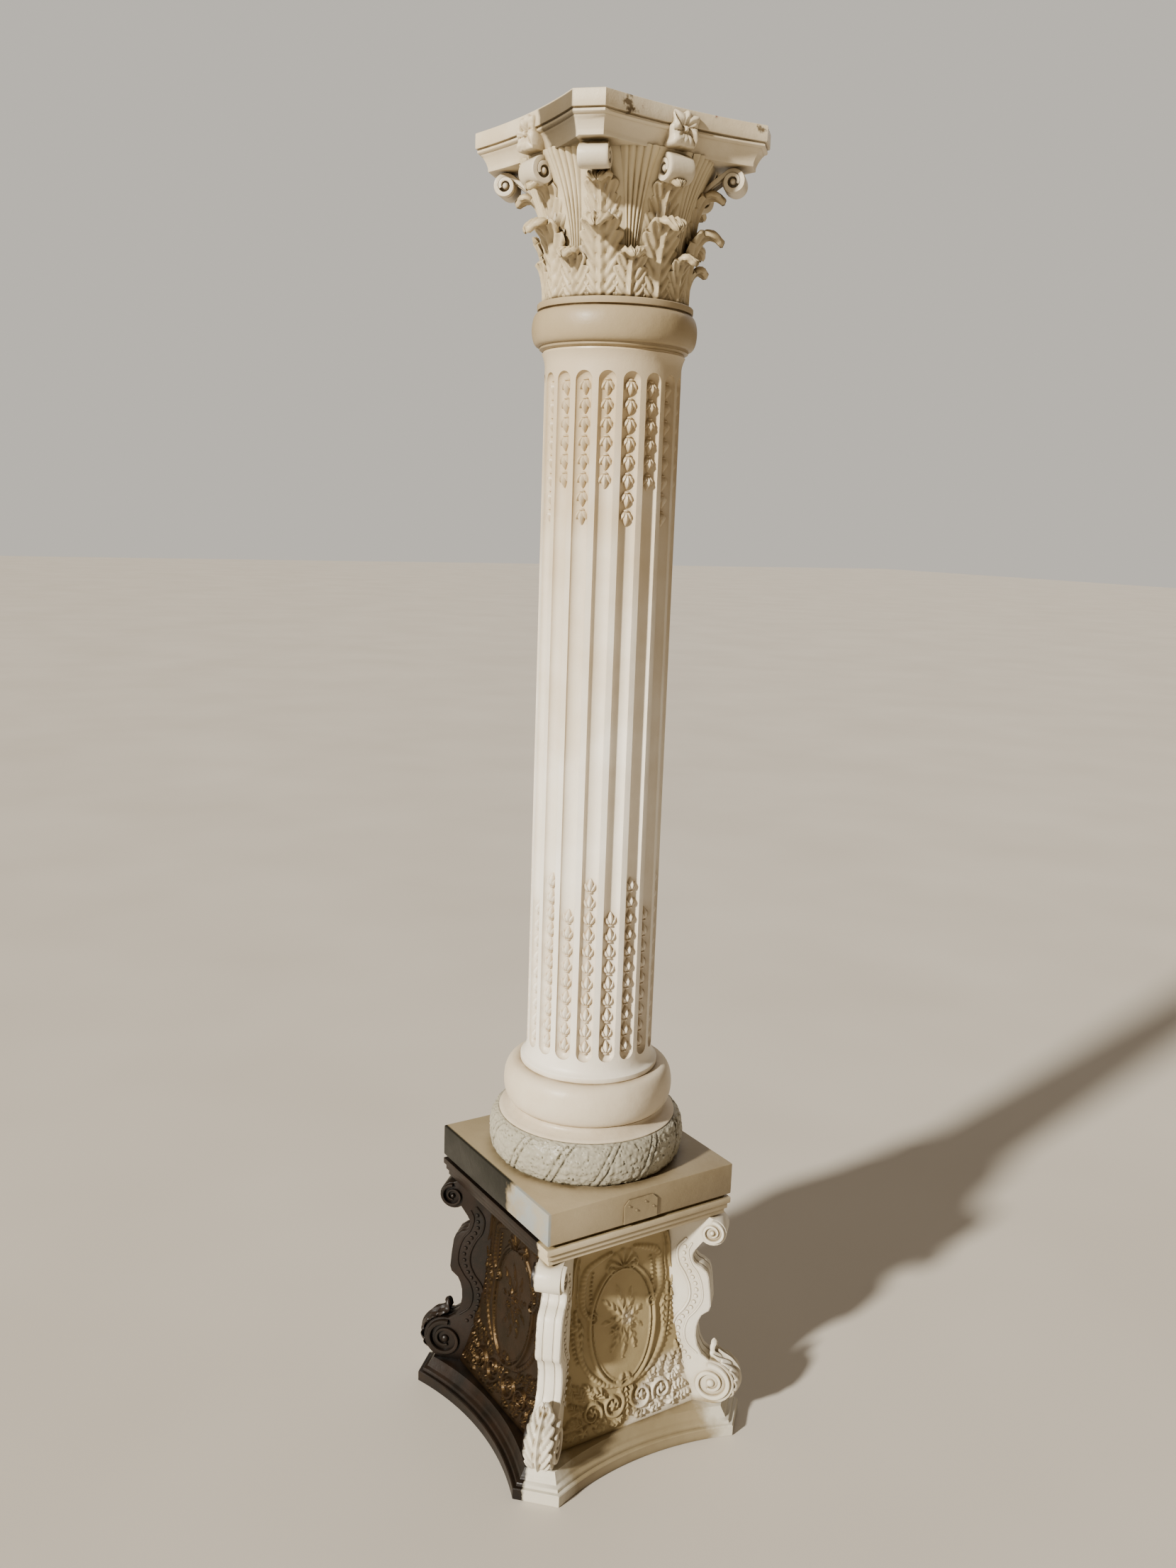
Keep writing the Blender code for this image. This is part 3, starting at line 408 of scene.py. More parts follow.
def along(x, z, points):
    """Each spot's distance from a drawn line, its share along it, and the line's length."""
    line = smooth_line(points)
    steps = np.diff(line, axis=0)
    lengths = np.hypot(steps[:, 0], steps[:, 1])
    total = lengths.sum()
    nearest = np.full(x.shape, 1e9)
    run = np.zeros(x.shape)
    begin = 0.0
    for start, step, length in zip(line, steps, lengths):
        t = np.clip(((x - start[0]) * step[0] + (z - start[1]) * step[1]) / length ** 2, 0, 1)
        gap = np.hypot(x - start[0] - t * step[0], z - start[1] - t * step[1])
        closer = gap < nearest
        nearest = np.where(closer, gap, nearest)
        run = np.where(closer, begin + t * length, run)
        begin += length
    return nearest, run / total, total


def strap(x, z, points, half, height, pitch=0.0):
    """A raised strap along a line, tapered at both ends, gadrooned where a pitch is given."""
    gap, share, total = along(x, z, points)
    width = half * np.sin(np.pi * np.clip(0.10 + 0.80 * share, 0, 1)) ** 0.5
    rise = ridge(gap, np.maximum(width, 0.01), height)
    if pitch:
        rise = rise * (0.66 + 0.34 * np.abs(np.cos(np.pi * share * total / pitch)))
    return rise


def drawn_leaf(x, z, points, half, height, lobes):
    """A leaf along a line: scalloped edges, slanting veins and a midrib."""
    gap, share, total = along(x, z, points)
    scallop = 0.66 + 0.34 * np.abs(np.sin(np.pi * lobes * share))
    width = half * np.sin(np.pi * np.clip(0.14 + 0.86 * share, 0, 1)) ** 0.7 * scallop
    across = gap / np.maximum(width, 0.3)
    body = np.clip(1 - across ** 2, 0, 1) ** 0.5
    veins = 0.72 + 0.28 * np.cos(2 * np.pi * (lobes * share - 0.7 * across))
    return height * body * veins + ridge(gap, 0.14 * half, 0.22 * height) * (body > 0)


def coil(x, z, centre, reach, turns, hand, start, height):
    """A scroll that winds in from its reach to a round eye."""
    over = hand * (x - centre[0])
    up = z - centre[1]
    far = np.hypot(over, up)
    turn = ((np.arctan2(up, over) - start) / (2 * np.pi)) % 1.0
    rise = ridge(far, 0.22 * reach, 1.15 * height)
    for winding in range(int(turns) + 1):
        wound = winding + turn
        radius = reach * (1 - 0.88 * wound / (turns + 0.35))
        half = 0.17 * reach * (1 - 0.45 * wound / (turns + 0.35))
        here = ridge(far - radius, half, height)
        rise = np.maximum(rise, np.where(wound <= turns, here, 0))
    return rise


def flower(x, z, centre, reach, petals, height, turn=0.0):
    """A flower seen from the front: petals round a button."""
    over = x - centre[0]
    up = z - centre[1]
    far = np.hypot(over, up)
    beat = 0.72 + 0.28 * np.cos(petals * np.arctan2(up, over) + turn)
    body = ridge(far, reach * beat, height) * (0.55 + 0.45 * np.clip(far / (0.55 * reach), 0, 1))
    return np.maximum(body, ridge(far, 0.27 * reach, 1.1 * height))


def beads(x, z, points, pitch, radius, height):
    """A row of round beads along a line."""
    gap, share, total = along(x, z, points)
    count = max(int(total / pitch), 1)
    off = (share * count) % 1.0 - 0.5
    return ridge(np.hypot(gap, off * total / count), radius, height)


# %% [markdown]
# Each panel is a hollow ground that flares out to the foot. Its carving is the same left
# and right: an oval medallion with a bunch of flowers, gadrooned brackets that end in
# small scrolls, C-shaped straps that cradle the oval, and curled foliage along the foot.
# The lists below are a drawing of one half, in millimetres across and above the floor.

# %% Draw the panel's motifs
DIE_TOP_HALF = 0.126
DIE_FLARE = 0.040
OVAL_ACROSS, OVAL_UP, OVAL_MIDDLE = 65.0, 104.0, 216.0
FAN_MIDDLE = 318
# the bouquet in the oval, whole: flowers, then leaves as (tip, lobes, half width)
BOUQUET = (((-2, 230), 17, 5, 8.0, 1.2), ((13, 212), 10, 5, 6.0), ((-16, 208), 10, 5, 6.0, 0.8))
SPRAY = (((-40, 268), 4, 9), ((18, 276), 4, 8), ((38, 240), 4, 9), ((-42, 226), 3, 8),
         ((-26, 172), 4, 9), ((22, 168), 4, 9), ((-4, 156), 3, 7), ((40, 200), 3, 7),
         ((-12, 288), 3, 7))
# straps as (line, half width, height, pitch of the gadroons): the bracket beside the oval
# and its two frames, and last the C strap that cradles the oval
STRAPS = (([(24, 346), (48, 338), (70, 326), (77, 296), (77, 264), (66, 242)], 6.5, 5.0, 7.5),
          ([(90, 356), (95, 330), (97, 300), (103, 284), (101, 262)], 3.4, 4.5),
          ([(83, 352), (86, 326), (87, 300), (90, 282), (88, 268)], 1.8, 2.6),
          ([(92, 262), (90, 222), (86, 190), (76, 160), (58, 136), (34, 119), (0, 112)],
           5.0, 4.6, 9.0))
# scrolls as (eye, reach, turns, hand, start, height): by the fan, at the bracket's end, and
# two in the foliage
SCROLLS = (((20, FAN_MIDDLE), 12, 1.3, -1, 1.2, 5.0), ((60, 241), 12, 1.4, 1, 0.4, 5.5),
           ((28, 87), 23, 1.3, 1, 2.2, 6.0), ((70, 84), 20, 1.2, -1, -0.6, 6.0))
PEARLS = (([(57, 322), (61, 296), (62, 262)], 7.5, 3.0, 3.6),
          ([(101, 262), (99, 222), (95, 190), (88, 168)], 8.0, 3.2, 3.8))
FLOWERS = (((28, 87), 11, 5, 6.5), ((70, 86), 9, 4, 6.0, 0.5), ((90, 61), 12, 5, 6.5))
# leaves as (line, half width, height, lobes): one and a row of husks by the bracket's foot,
# and the foliage along the panel's foot
FOLIAGE = [([(84, 244), (94, 236), (106, 246)], 8, 5.0, 3)]
FOLIAGE += [([(82, drop + 10), (83, drop), (84, drop - 9)], half, 5.5, 1)
            for drop, half in ((226, 7.0), (212, 6.0), (199, 5.0), (188, 4.0))]
FOLIAGE += [([(44, 104), (56, 116), (72, 114)], 9, 5.5, 4),
            ([(0, 106), (0, 86), (0, 60)], 9, 5.5, 5),
            ([(8, 104), (10, 120), (2, 132)], 7, 4.5, 3),
            ([(44, 66), (54, 56), (70, 60)], 8, 5.0, 4),
            ([(12, 66), (22, 56), (38, 56)], 7, 5.0, 4),
            ([(86, 96), (100, 98), (112, 112)], 10, 6.0, 5),
            ([(92, 74), (106, 80), (124, 76)], 10, 6.0, 5),
            ([(100, 62), (114, 60), (130, 64)], 8, 5.5, 4),
            ([(84, 108), (92, 126), (104, 140)], 9, 5.5, 5),
            ([(66, 108), (72, 124), (84, 136)], 7, 4.5, 4),
            ([(104, 116), (110, 134), (106, 156)], 8, 5.0, 4),
            ([(60, 74), (62, 66), (76, 70)], 6, 5.0, 3)]


def die_half(height):
    """Half the width of the pedestal's die at a height."""
    share = np.clip((DIE_TOP - height) / (DIE_TOP - DIE_FOOT), 0, 1)
    return DIE_TOP_HALF + DIE_FLARE * share ** 2.2


def medallion(x, z):
    """The oval's rim, its inner bead and its slightly raised ground."""
    oval = np.hypot(x / OVAL_ACROSS, (z - OVAL_MIDDLE) / OVAL_UP)
    slope = np.hypot(x / OVAL_ACROSS ** 2, (z - OVAL_MIDDLE) / OVAL_UP ** 2)
    rim = (oval - 1) / np.maximum(slope / np.maximum(oval, 0.05), 0.004)
    return [ridge(rim, 3.6, 5.0), ridge(rim + 8.0, 1.7, 2.6), np.where(rim < -9.5, 0.8, 0.0)]


def panel_relief(x, z):
    """The height of the carving in millimetres, from millimetres across and up."""
    side = np.abs(x)
    forms = medallion(x, z)
    forms += [flower(x, z, *values) for values in BOUQUET]
    for tip, lobes, half in SPRAY:
        bend = (0.55 * tip[0] + 5, 0.5 * (tip[1] + 222))
        forms.append(drawn_leaf(x, z, [(0, 222), bend, tip], half, 3.6, lobes))
    ribs = 0.70 + 0.30 * np.cos(11 * np.arctan2(x, z - FAN_MIDDLE))
    fan = ridge(np.hypot(x, z - FAN_MIDDLE), 31 * (0.9 + 0.1 * ribs), 8.0) * ribs
    forms.append(np.where(z > FAN_MIDDLE - 2, fan, 0))
    for draw, drawing in ((strap, STRAPS), (coil, SCROLLS), (beads, PEARLS), (flower, FLOWERS),
                          (drawn_leaf, FOLIAGE)):
        forms += [draw(side, z, *values) for values in drawing]
    # the cast is old, and its carving has softened unevenly
    soft = 0.86 + 0.10 * np.sin(x * 0.11 + 1.0) * np.sin(z * 0.07)
    return np.maximum.reduce(forms) * soft


# %% [markdown]
# The drawing becomes a surface: one panel is laid over the die's front and turned to the
# other three sides. The ground lies a little behind the solid's face, so that the carving
# as a whole neither grows nor shrinks the pedestal.

# %% Carve the four panels
def panel_place(u, v):
    """A point of the panel on the -Y side."""
    height = DIE_FOOT - 0.006 + (DIE_TOP - DIE_FOOT + 0.002) * v
    half = die_half(height)
    across = (2 * u - 1) * half
    rise = panel_relief(across * 1000, height * 1000) / 1000 - 0.0016
    return across, -(half + rise), height


panel = facing_out(skin(170, 210, panel_place), (0, 0, 0.2))
for number, angle in enumerate(SIDES):
    make_piece(f"pedestal_panel_{number + 1}", [turned_to(panel, angle)], PANEL_PAINT,
               "pedestal", 60)
panel.free()

# %% [markdown]
# The foot is a slab with hollow sides and cut corners, and small mouldings run round it.
# The plan is drawn once as a ring of points, and the grid is wrapped round it: across
# the grid is round the plan, along the grid is up the profile.

# %% Wrap mouldings round a horned plan
def horned_plan(reach, half_width, side_reach, steps):
    """The plan as rows of x and y, one column for each point round it."""
    corner_x = (reach + half_width) / math.sqrt(2)
    half = (reach - half_width) / math.sqrt(2)
    sagitta = corner_x - side_reach
    radius = (half * half + sagitta * sagitta) / (2 * sagitta)
    across = half * np.linspace(-1, 1, steps + 1)
    out = side_reach + radius - np.sqrt(radius * radius - across * across)
    rows = []
    for angle in SIDES:
        c, s = math.cos(angle), math.sin(angle)
        rows.append(np.stack([out * c - across * s, out * s + across * c]))
    return np.concatenate(rows, axis=1)


def horned_moulding(plan, profile, steps):
    """A closed moulding on a horned plan; its profile is a list of (inset, height)."""
    reach, half_width, side_reach, narrowing = plan
    rings = [horned_plan(reach - inset, half_width - narrowing * inset, side_reach - inset, steps)
             for inset, height in profile]
    heights = [height for inset, height in profile]
    count = rings[0].shape[1]
    rings = np.array([rings[0] * 0.0] + rings + [rings[-1] * 0.0])
    heights = np.array([heights[0]] + heights + [heights[-1]])

    def place(u, v):
        column = np.rint(u * count).astype(int) % count
        row = np.rint(v * (len(heights) - 1)).astype(int)
        return rings[row, 0, column], rings[row, 1, column], heights[row]

    return closed(skin(count, len(heights) - 1, place))


# the reach of the corners, half their width, the reach of the sides, and how fast a corner
# narrows as the moulding is drawn in
FOOT_PLAN = (0.284, 0.038, 0.1965, 0.56)
foot_profile = [(0.0015, 0.0), (0.0, 0.0015), (0.0, 0.010), (0.0, 0.0185), (0.0015, 0.0200),
                (0.0068, 0.0203), (0.0072, 0.0213), (0.0078, 0.0240), (0.0092, 0.0257),
                (0.0135, 0.0270), (0.0150, 0.0285), (0.0158, 0.0310), (0.0170, 0.0330),
                (0.0185, 0.0345), (0.0205, 0.0380), (0.0225, 0.0410), (0.0240, 0.0440)]
foot = horned_moulding(FOOT_PLAN, foot_profile, 28)
make_piece("pedestal_foot", [foot], FOOT_PAINT, "pedestal")

# %% [markdown]
# The cornice is three thin flat courses that step out, over a sloping soffit, with a low
# bed on top that leaves the dark joint under the plinth. Plain slabs with slightly
# rounded edges do it: on a cast and painted piece no edge is sharp.

# %% Stack the cornice
def slab(half, low, high, round_off, loss=0.0):
    """A square slab with rounded edges; a loss narrows its foot."""
    shape = bmesh.new()
    bmesh.ops.create_cube(shape, size=1.0)
    bmesh.ops.scale(shape, verts=shape.verts, vec=(2 * half, 2 * half, high - low))
    bmesh.ops.translate(shape, verts=shape.verts, vec=(0, 0, (low + high) / 2))
    for vert in shape.verts:
        if vert.co.z < (low + high) / 2:
            vert.co.x -= math.copysign(loss, vert.co.x)
            vert.co.y -= math.copysign(loss, vert.co.y)
    bmesh.ops.bevel(shape, geom=list(shape.edges), offset=round_off, segments=2, profile=0.5,
                    affect='EDGES', material=-1)
    return shape


PLINTH_HALF = 0.180
soffit = slab(0.173, 0.3825, 0.3905, 0.0005, 0.022)
courses = [slab(0.173, DIE_TOP, 0.4000, 0.0008), slab(0.1765, 0.3998, 0.4102, 0.0008),
           slab(PLINTH_HALF, 0.4100, CORNICE_TOP, 0.0010)]
bed = slab(0.172, 0.4195, PEDESTAL_TOP - JOINT_GAP, 0.0004)
make_piece("pedestal_cornice", [soffit, *courses, bed], CORNICE_PAINT,
           "pedestal")

# %% [markdown]
# A console is a flat scrolled bracket. Its side view is drawn as one closed line, a face
# is filled in it, and that face is extruded to the console's width. The carving on it is
# laid over as cords, beads and straps: a strap is swept along a line in the same view.

# %% Sweep straps along lines in a side view
def arc(centre, radius, start, end, steps):
    """Points on an arc in a side view; angles in degrees."""
    turn = np.radians(np.linspace(start, end, steps + 1))
    return [(centre[0] + radius * math.cos(a), centre[1] + radius * math.sin(a)) for a in turn]


def winding(centre, outer, inner, start, turns, steps):
    """Points on a spiral that winds in; the start in degrees, turns signed."""
    share = np.linspace(0, 1, steps + 1)
    angle = math.radians(start) + share * turns * 2 * math.pi
    radius = outer + (inner - outer) * share
    return [(centre[0] + r * math.cos(a), centre[1] + r * math.sin(a))
            for a, r in zip(angle, radius)]


def stood_up(reach, height, across, angle):
    """Side-view places as x, y and z, in the upright plane at an angle."""
    c, s = math.cos(angle), math.sin(angle)
    return reach * c - across * s, reach * s + across * c, height


def swept(points, half_width, half_thick, angle, shift=0.0, sides=8, square=1.0):
    """A closed strap along a line; its half width and thickness may vary from point to point."""
    path = np.array(points, float)
    path = np.vstack([path[:1], path, path[-1:]])
    step = np.gradient(path, axis=0)
    step = step / np.maximum(np.linalg.norm(step, axis=1, keepdims=True), 1e-9)
    count = len(path)
    wide = np.concatenate([[0], np.full(count - 2, 1.0) * half_width, [0]])
    thick = np.concatenate([[0], np.full(count - 2, 1.0) * half_thick, [0]])

    def place(u, v):
        row = np.rint(v * (count - 1)).astype(int)
        c, s = np.cos(2 * np.pi * u), np.sin(2 * np.pi * u)
        over = np.sign(c) * np.abs(c) ** square * wide[row]
        out = np.sign(s) * np.abs(s) ** square * thick[row]
        reach = path[row, 0] + step[row, 1] * out
        height = path[row, 1] - step[row, 0] * out
        return stood_up(reach, height, over + shift, angle)

    return closed(skin(sides, count - 1, place))


def button(centre, radius, rise, angle, shift, rings=5, sides=10):
    """A flattened ball on the side of a console or scroll."""
    shape = bmesh.new()
    bmesh.ops.create_uvsphere(shape, u_segments=sides, v_segments=rings, radius=1.0)
    bmesh.ops.scale(shape, verts=shape.verts, vec=(radius, rise, radius))
    bmesh.ops.translate(shape, verts=shape.verts, vec=(centre[0], shift, centre[1]))
    shape.transform(Matrix.Rotation(angle, 4, 'Z'))
    return shape


def leaf_on(line, half, angle, lobes, thick, rise, stations, sides, root, sag=0.0, tip=1.0,
            slant=2.2):
    """A leaf that follows a line in the side view and wraps round the column's axis.

    It is a closed tube, flat and broad: half is its half width, rise the height of its ribs,
    root how far its foot is drawn in, sag how far its edges droop, and tip the share of the
    line that is left where the tip has broken off.
    """
    line = smooth_line(line, 10)
    steps = np.hypot(*np.diff(line, axis=0).T)
    run = np.concatenate([[0], np.cumsum(steps)]) / steps.sum()
    share = tip * np.linspace(0, 1, stations + 1)
    path = np.stack([np.interp(share, run, line[:, 0]), np.interp(share, run, line[:, 1])], 1)
    step = np.gradient(path, axis=0)
    step = step / np.linalg.norm(step, axis=1, keepdims=True)

    def place(u, v):
        row = np.rint(v * stations).astype(int)
        front = u < 0.5
        across = np.where(front, 4 * u - 1, 3 - 4 * u)
        side = np.abs(across)
        length = share[row]
        # the outline: broad in the middle, and rounded at the tip, which is the hood
        body = np.sin(np.pi * (root + (0.92 - root) * length)) ** 0.65
        hood = np.clip((length - 0.82) / 0.18, 0, 1)
        body = body * (0.16 + 0.84 * np.sqrt(np.clip(1 - hood ** 2, 0, 1)))
        # the lobes: plumes that slant up to notches in the edge
        plume = np.sqrt(np.cos(np.pi * (lobes * length - slant * side)) ** 2 + 0.03)
        at_edge = np.abs(np.cos(np.pi * (lobes * length - slant)))
        notch = (1 - 0.9 * hood) * (1 - at_edge ** 0.6)
        spread = half * body * (1 - 0.32 * side ** 3 * notch) * across
        forward = 0.22 * half * side ** 2 * (at_edge - 0.6) * (1 - hood)
        # the relief: a midrib between two grooves, the plumes, and edges that fall back
        rib = 1.2 * np.exp(-(across / 0.10) ** 2) - 0.5 * np.exp(-((side - 0.22) / 0.07) ** 2)
        lift = rib + 1.15 * (plume - 0.55) * np.clip(side / 0.25, 0, 1) - 0.5 * side ** 2
        lift = rise * (1 - 0.6 * hood) * lift
        # the thickness: closed at the edges and ends, and stouter at the tip
        full = np.sqrt(np.clip(1 - across ** 8, 0, 1))
        full = full * np.clip(np.minimum(v, 1 - v) * stations, 0, 1)
        stout = 1 + 0.7 * np.clip((length - 0.60) / 0.28, 0, 1)
        lift = lift + np.where(front, 0.5, -0.5) * thick * stout * full
        reach = path[row, 0] + step[row, 1] * lift + step[row, 0] * forward
        height = path[row, 1] - step[row, 0] * lift + step[row, 1] * forward
        height = height - sag * side ** 2 * length ** 3
        turn = angle + spread / np.maximum(reach, 0.05)
        return reach * np.cos(turn), reach * np.sin(turn), height

    return closed(skin(2 * sides, stations, place))


# %% [markdown]
# The console's line comes down from the small roll under the cornice, makes a shoulder
# and a hollow, and ends in the large scroll on the foot. Its edge is beaded: two thin
# fillets follow it on each side, with a row of pearls down the middle of the band.

# %% Build one console and its carving
ROLL = (0.229, 0.362)
SCROLL = (0.240, 0.082)
ROLL_RADIUS = 0.024
SCROLL_RADIUS = 0.0395
CONSOLE_HALF = 0.021
CONSOLE_BACK = 0.120
# the shoulder and the hollow, as (distance past the roll, share of the way down)
WAIST = ((-0.0065, 0.268), (-0.0030, 0.300), (0.0005, 0.390), (0.0030, 0.490), (0.0005, 0.520),
         (-0.0115, 0.556), (-0.0165, 0.595), (-0.0195, 0.640), (-0.0200, 0.700),
         (-0.0165, 0.765), (-0.0085, 0.820))


def down(share):
    """A height between the roll and the scroll."""
    return ROLL[1] - share * (ROLL[1] - SCROLL[1])


def console_front():
    """The front line of a console from the roll's top to the scroll's lower side."""
    curl = arc(ROLL, ROLL_RADIUS, 88, -128, 14)
    notch = arc((ROLL[0] - 0.0144, down(0.176)), 0.018, 140, 262, 7)
    waist = [(ROLL[0] + beyond, down(share)) for beyond, share in WAIST]
    curl_below = arc(SCROLL, SCROLL_RADIUS, 97, -86, 14)
    return curl + notch + waist + curl_below


def console_board(angle):
    """The board: a filled side view, extruded to its width, with its edges rounded."""
    line = [(CONSOLE_BACK, 0.042), (CONSOLE_BACK, 0.3925), (0.217, 0.3925)] + console_front()
    line.append((0.2005, 0.042))
    shape = bmesh.new()
    ring = [shape.verts.new((reach, -CONSOLE_HALF, height)) for reach, height in line]
    face = shape.faces.new(ring)
    grown = bmesh.ops.extrude_face_region(shape, geom=[face])
    moved = [item for item in grown["geom"] if isinstance(item, bmesh.types.BMVert)]
    bmesh.ops.translate(shape, verts=moved, vec=(0, 2 * CONSOLE_HALF, 0))
    closed(shape)
    rims = [edge for edge in shape.edges
            if abs(edge.verts[0].co.y - edge.verts[1].co.y) < 1e-6
            and edge.verts[0].co.x > CONSOLE_BACK + 0.005]
    bmesh.ops.bevel(shape, geom=rims, offset=0.0012, segments=2, profile=0.5,
                    affect='EDGES', material=-1, clamp_overlap=True)
    caps = [face for face in shape.faces if len(face.verts) > 8]
    bmesh.ops.triangulate(shape, faces=caps, quad_method='BEAUTY', ngon_method='BEAUTY')
    shape.transform(Matrix.Rotation(angle, 4, 'Z'))
    return shape


def offset_line(points, distance):
    """A line drawn inside another at a distance."""
    path = np.array(points)
    step = np.gradient(path, axis=0)
    step = step / np.maximum(np.linalg.norm(step, axis=1, keepdims=True), 1e-9)
    return np.stack([path[:, 0] + step[:, 1] * distance, path[:, 1] - step[:, 0] * distance], 1)


PEARL_PITCH = 0.0115


def console_carving(angle):
    """Fillets, pearls, spirals, front grooves and leaves of one console."""
    shapes = []
    face = smooth_line([(0.196, 0.338), (0.190, 0.322), (0.196, 0.300), (0.208, 0.284),
                        (0.216, 0.262), (0.218, 0.236), (0.208, 0.214), (0.195, 0.196),
                        (0.190, 0.172), (0.196, 0.150), (0.214, 0.134)], 6)
    inner = smooth_line([(0.186, 0.346), (0.172, 0.326), (0.174, 0.300), (0.186, 0.280),
                         (0.195, 0.258), (0.196, 0.236), (0.188, 0.216), (0.174, 0.196),
                         (0.168, 0.170), (0.172, 0.140), (0.190, 0.112)], 6)
    middle = smooth_line([(0.184, 0.330), (0.183, 0.305), (0.196, 0.282), (0.206, 0.260),
                          (0.206, 0.238), (0.198, 0.216), (0.184, 0.196), (0.179, 0.171),
                          (0.184, 0.146), (0.200, 0.124)], 12)
    gaps = np.hypot(*np.diff(middle, axis=0).T)
    run = np.concatenate([[0], np.cumsum(gaps)])
    count = int(run[-1] / PEARL_PITCH)
    for hand in (-1, 1):
        side = hand * CONSOLE_HALF
        for line, radius in ((face, 0.0016), (inner, 0.0022)):
            shapes.append(swept(line, radius, radius, angle, side))
        for i in range(count + 1):
            far = run[-1] * i / count
            spot = (np.interp(far, run, middle[:, 0]), np.interp(far, run, middle[:, 1]))
            shapes.append(button(spot, 0.0038, 0.0030, angle, side, 4, 8))
        for centre, outer, start, turns in ((SCROLL, 0.0340, 100, 1.6), (ROLL, 0.0205, 90, 1.5)):
            steps = int(44 * turns)
            spiral = winding(centre, outer, 0.32 * outer, start, -turns, steps)
            fade = np.linspace(1.0, 0.55, steps + 1)
            shapes.append(swept(spiral, 0.0066 * fade, 0.140 * outer * fade, angle, side, 12, 0.6))
            shapes.append(button(centre, 0.22 * outer, 0.0056, angle, side, 6, 14))
    front = offset_line(console_front(), 0.0004)[15:44]
    for over, half in ((-0.0146, 0.0052), (0.0, 0.0078), (0.0146, 0.0052)):
        shapes.append(swept(front, half, 0.0016, angle, over, 12, 0.35))
    for over in (-0.0187, 0.0187):
        shapes.append(swept(front, 0.0012, 0.0014, angle, over, 6))
    over_scroll = [(0.2700, 0.0530), (0.2790, 0.0640), (0.2850, 0.0820), (0.2820, 0.1000),
                   (0.2690, 0.1165), (0.2520, 0.1250), (0.2410, 0.1330), (0.2400, 0.1430),
                   (0.2450, 0.1500)]
    shapes.append(leaf_on(over_scroll, half=0.0250, angle=angle, lobes=6, thick=0.0045,
                          rise=0.0034, stations=54, sides=24, root=0.20, slant=1.8))
    return shapes


boards = [console_board(angle) for angle in CORNERS]
carving = [shape for angle in CORNERS for shape in console_carving(angle)]
make_piece("pedestal_consoles", boards + carving, CONSOLE_PAINT, "pedestal",
           35)

# %% [markdown]
# The base is a square plinth, a fat torus carved with leaves and crossing ribbons, a
# small scotia and a plain torus. Plain mouldings are turned: a profile is spun round the
# axis. The carved torus is a grid again, because its surface is not the same all round.

# %% Turn the plain mouldings and carve the leafy torus
def spun(profile, steps=96):
    """A profile of (radius, height) spun once round the axis."""
    shape = bmesh.new()
    verts = [shape.verts.new((radius, 0, height)) for radius, height in profile]
    edges = [shape.edges.new(pair) for pair in zip(verts, verts[1:])]
    bmesh.ops.spin(shape, geom=verts + edges, cent=(0, 0, 0), axis=(0, 0, 1),
                   angle=2 * math.pi, steps=steps, use_merge=True)
    return closed(shape)


def torus_profile(neck, reach, foot, height, steps):
    """The half-round outline of a torus from its top down."""
    turn = np.pi * (0.5 - np.linspace(0, 1, steps + 1))
    return list(zip(neck + (reach - neck) * np.cos(turn) ** 0.8,
                    foot + height * (0.5 + 0.5 * np.sin(turn))))


TORUS_NECK, TORUS_REACH, TORUS_HEIGHT = 0.146, 0.1636, 0.0715
RIBBONS = 13
# in millimetres: the torus's radius, the way round it and up its outline, and the length
# and the row height of its leaves
TORUS_RADIUS_MM, TORUS_ROUND_MM, OUTLINE_MM = 165.0, 1037.0, 100.0
LEAF_LENGTH_MM, LEAF_ROW_MM = 23.0, 13.0


def leafy(around, up):
    """Relief in millimetres from millimetres round the torus and up its outline."""
    lean = -up * 0.55
    period = TORUS_ROUND_MM / RIBBONS
    to_ribbon = (around - lean + period / 2) % period - period / 2
    ribbon = np.where(np.abs(to_ribbon) < 5.0, 1.6, 0.0)
    ribbon = ribbon - ridge(np.abs(to_ribbon) - 6.2, 1.6, 2.4)
    row = np.floor(up / LEAF_ROW_MM)
    cell = (around + row * 11.0 + 0.35 * up) / LEAF_LENGTH_MM
    over = (cell % 1.0 - 0.5) * LEAF_LENGTH_MM
    rise = ((up / LEAF_ROW_MM) % 1.0 - 0.5) * LEAF_ROW_MM
    tipped = np.abs(rise) / np.maximum(6.2 * (1 - np.abs(over / 12.5) ** 1.6), 0.2)
    leaves = 1.5 * np.clip(1 - tipped ** 2, 0, 1) ** 0.6 - 0.6 * np.exp(-(rise / 0.9) ** 2)
    away = np.clip((np.abs(to_ribbon) - 8.0) / 3.0, 0, 1)
    return leaves * away + ribbon


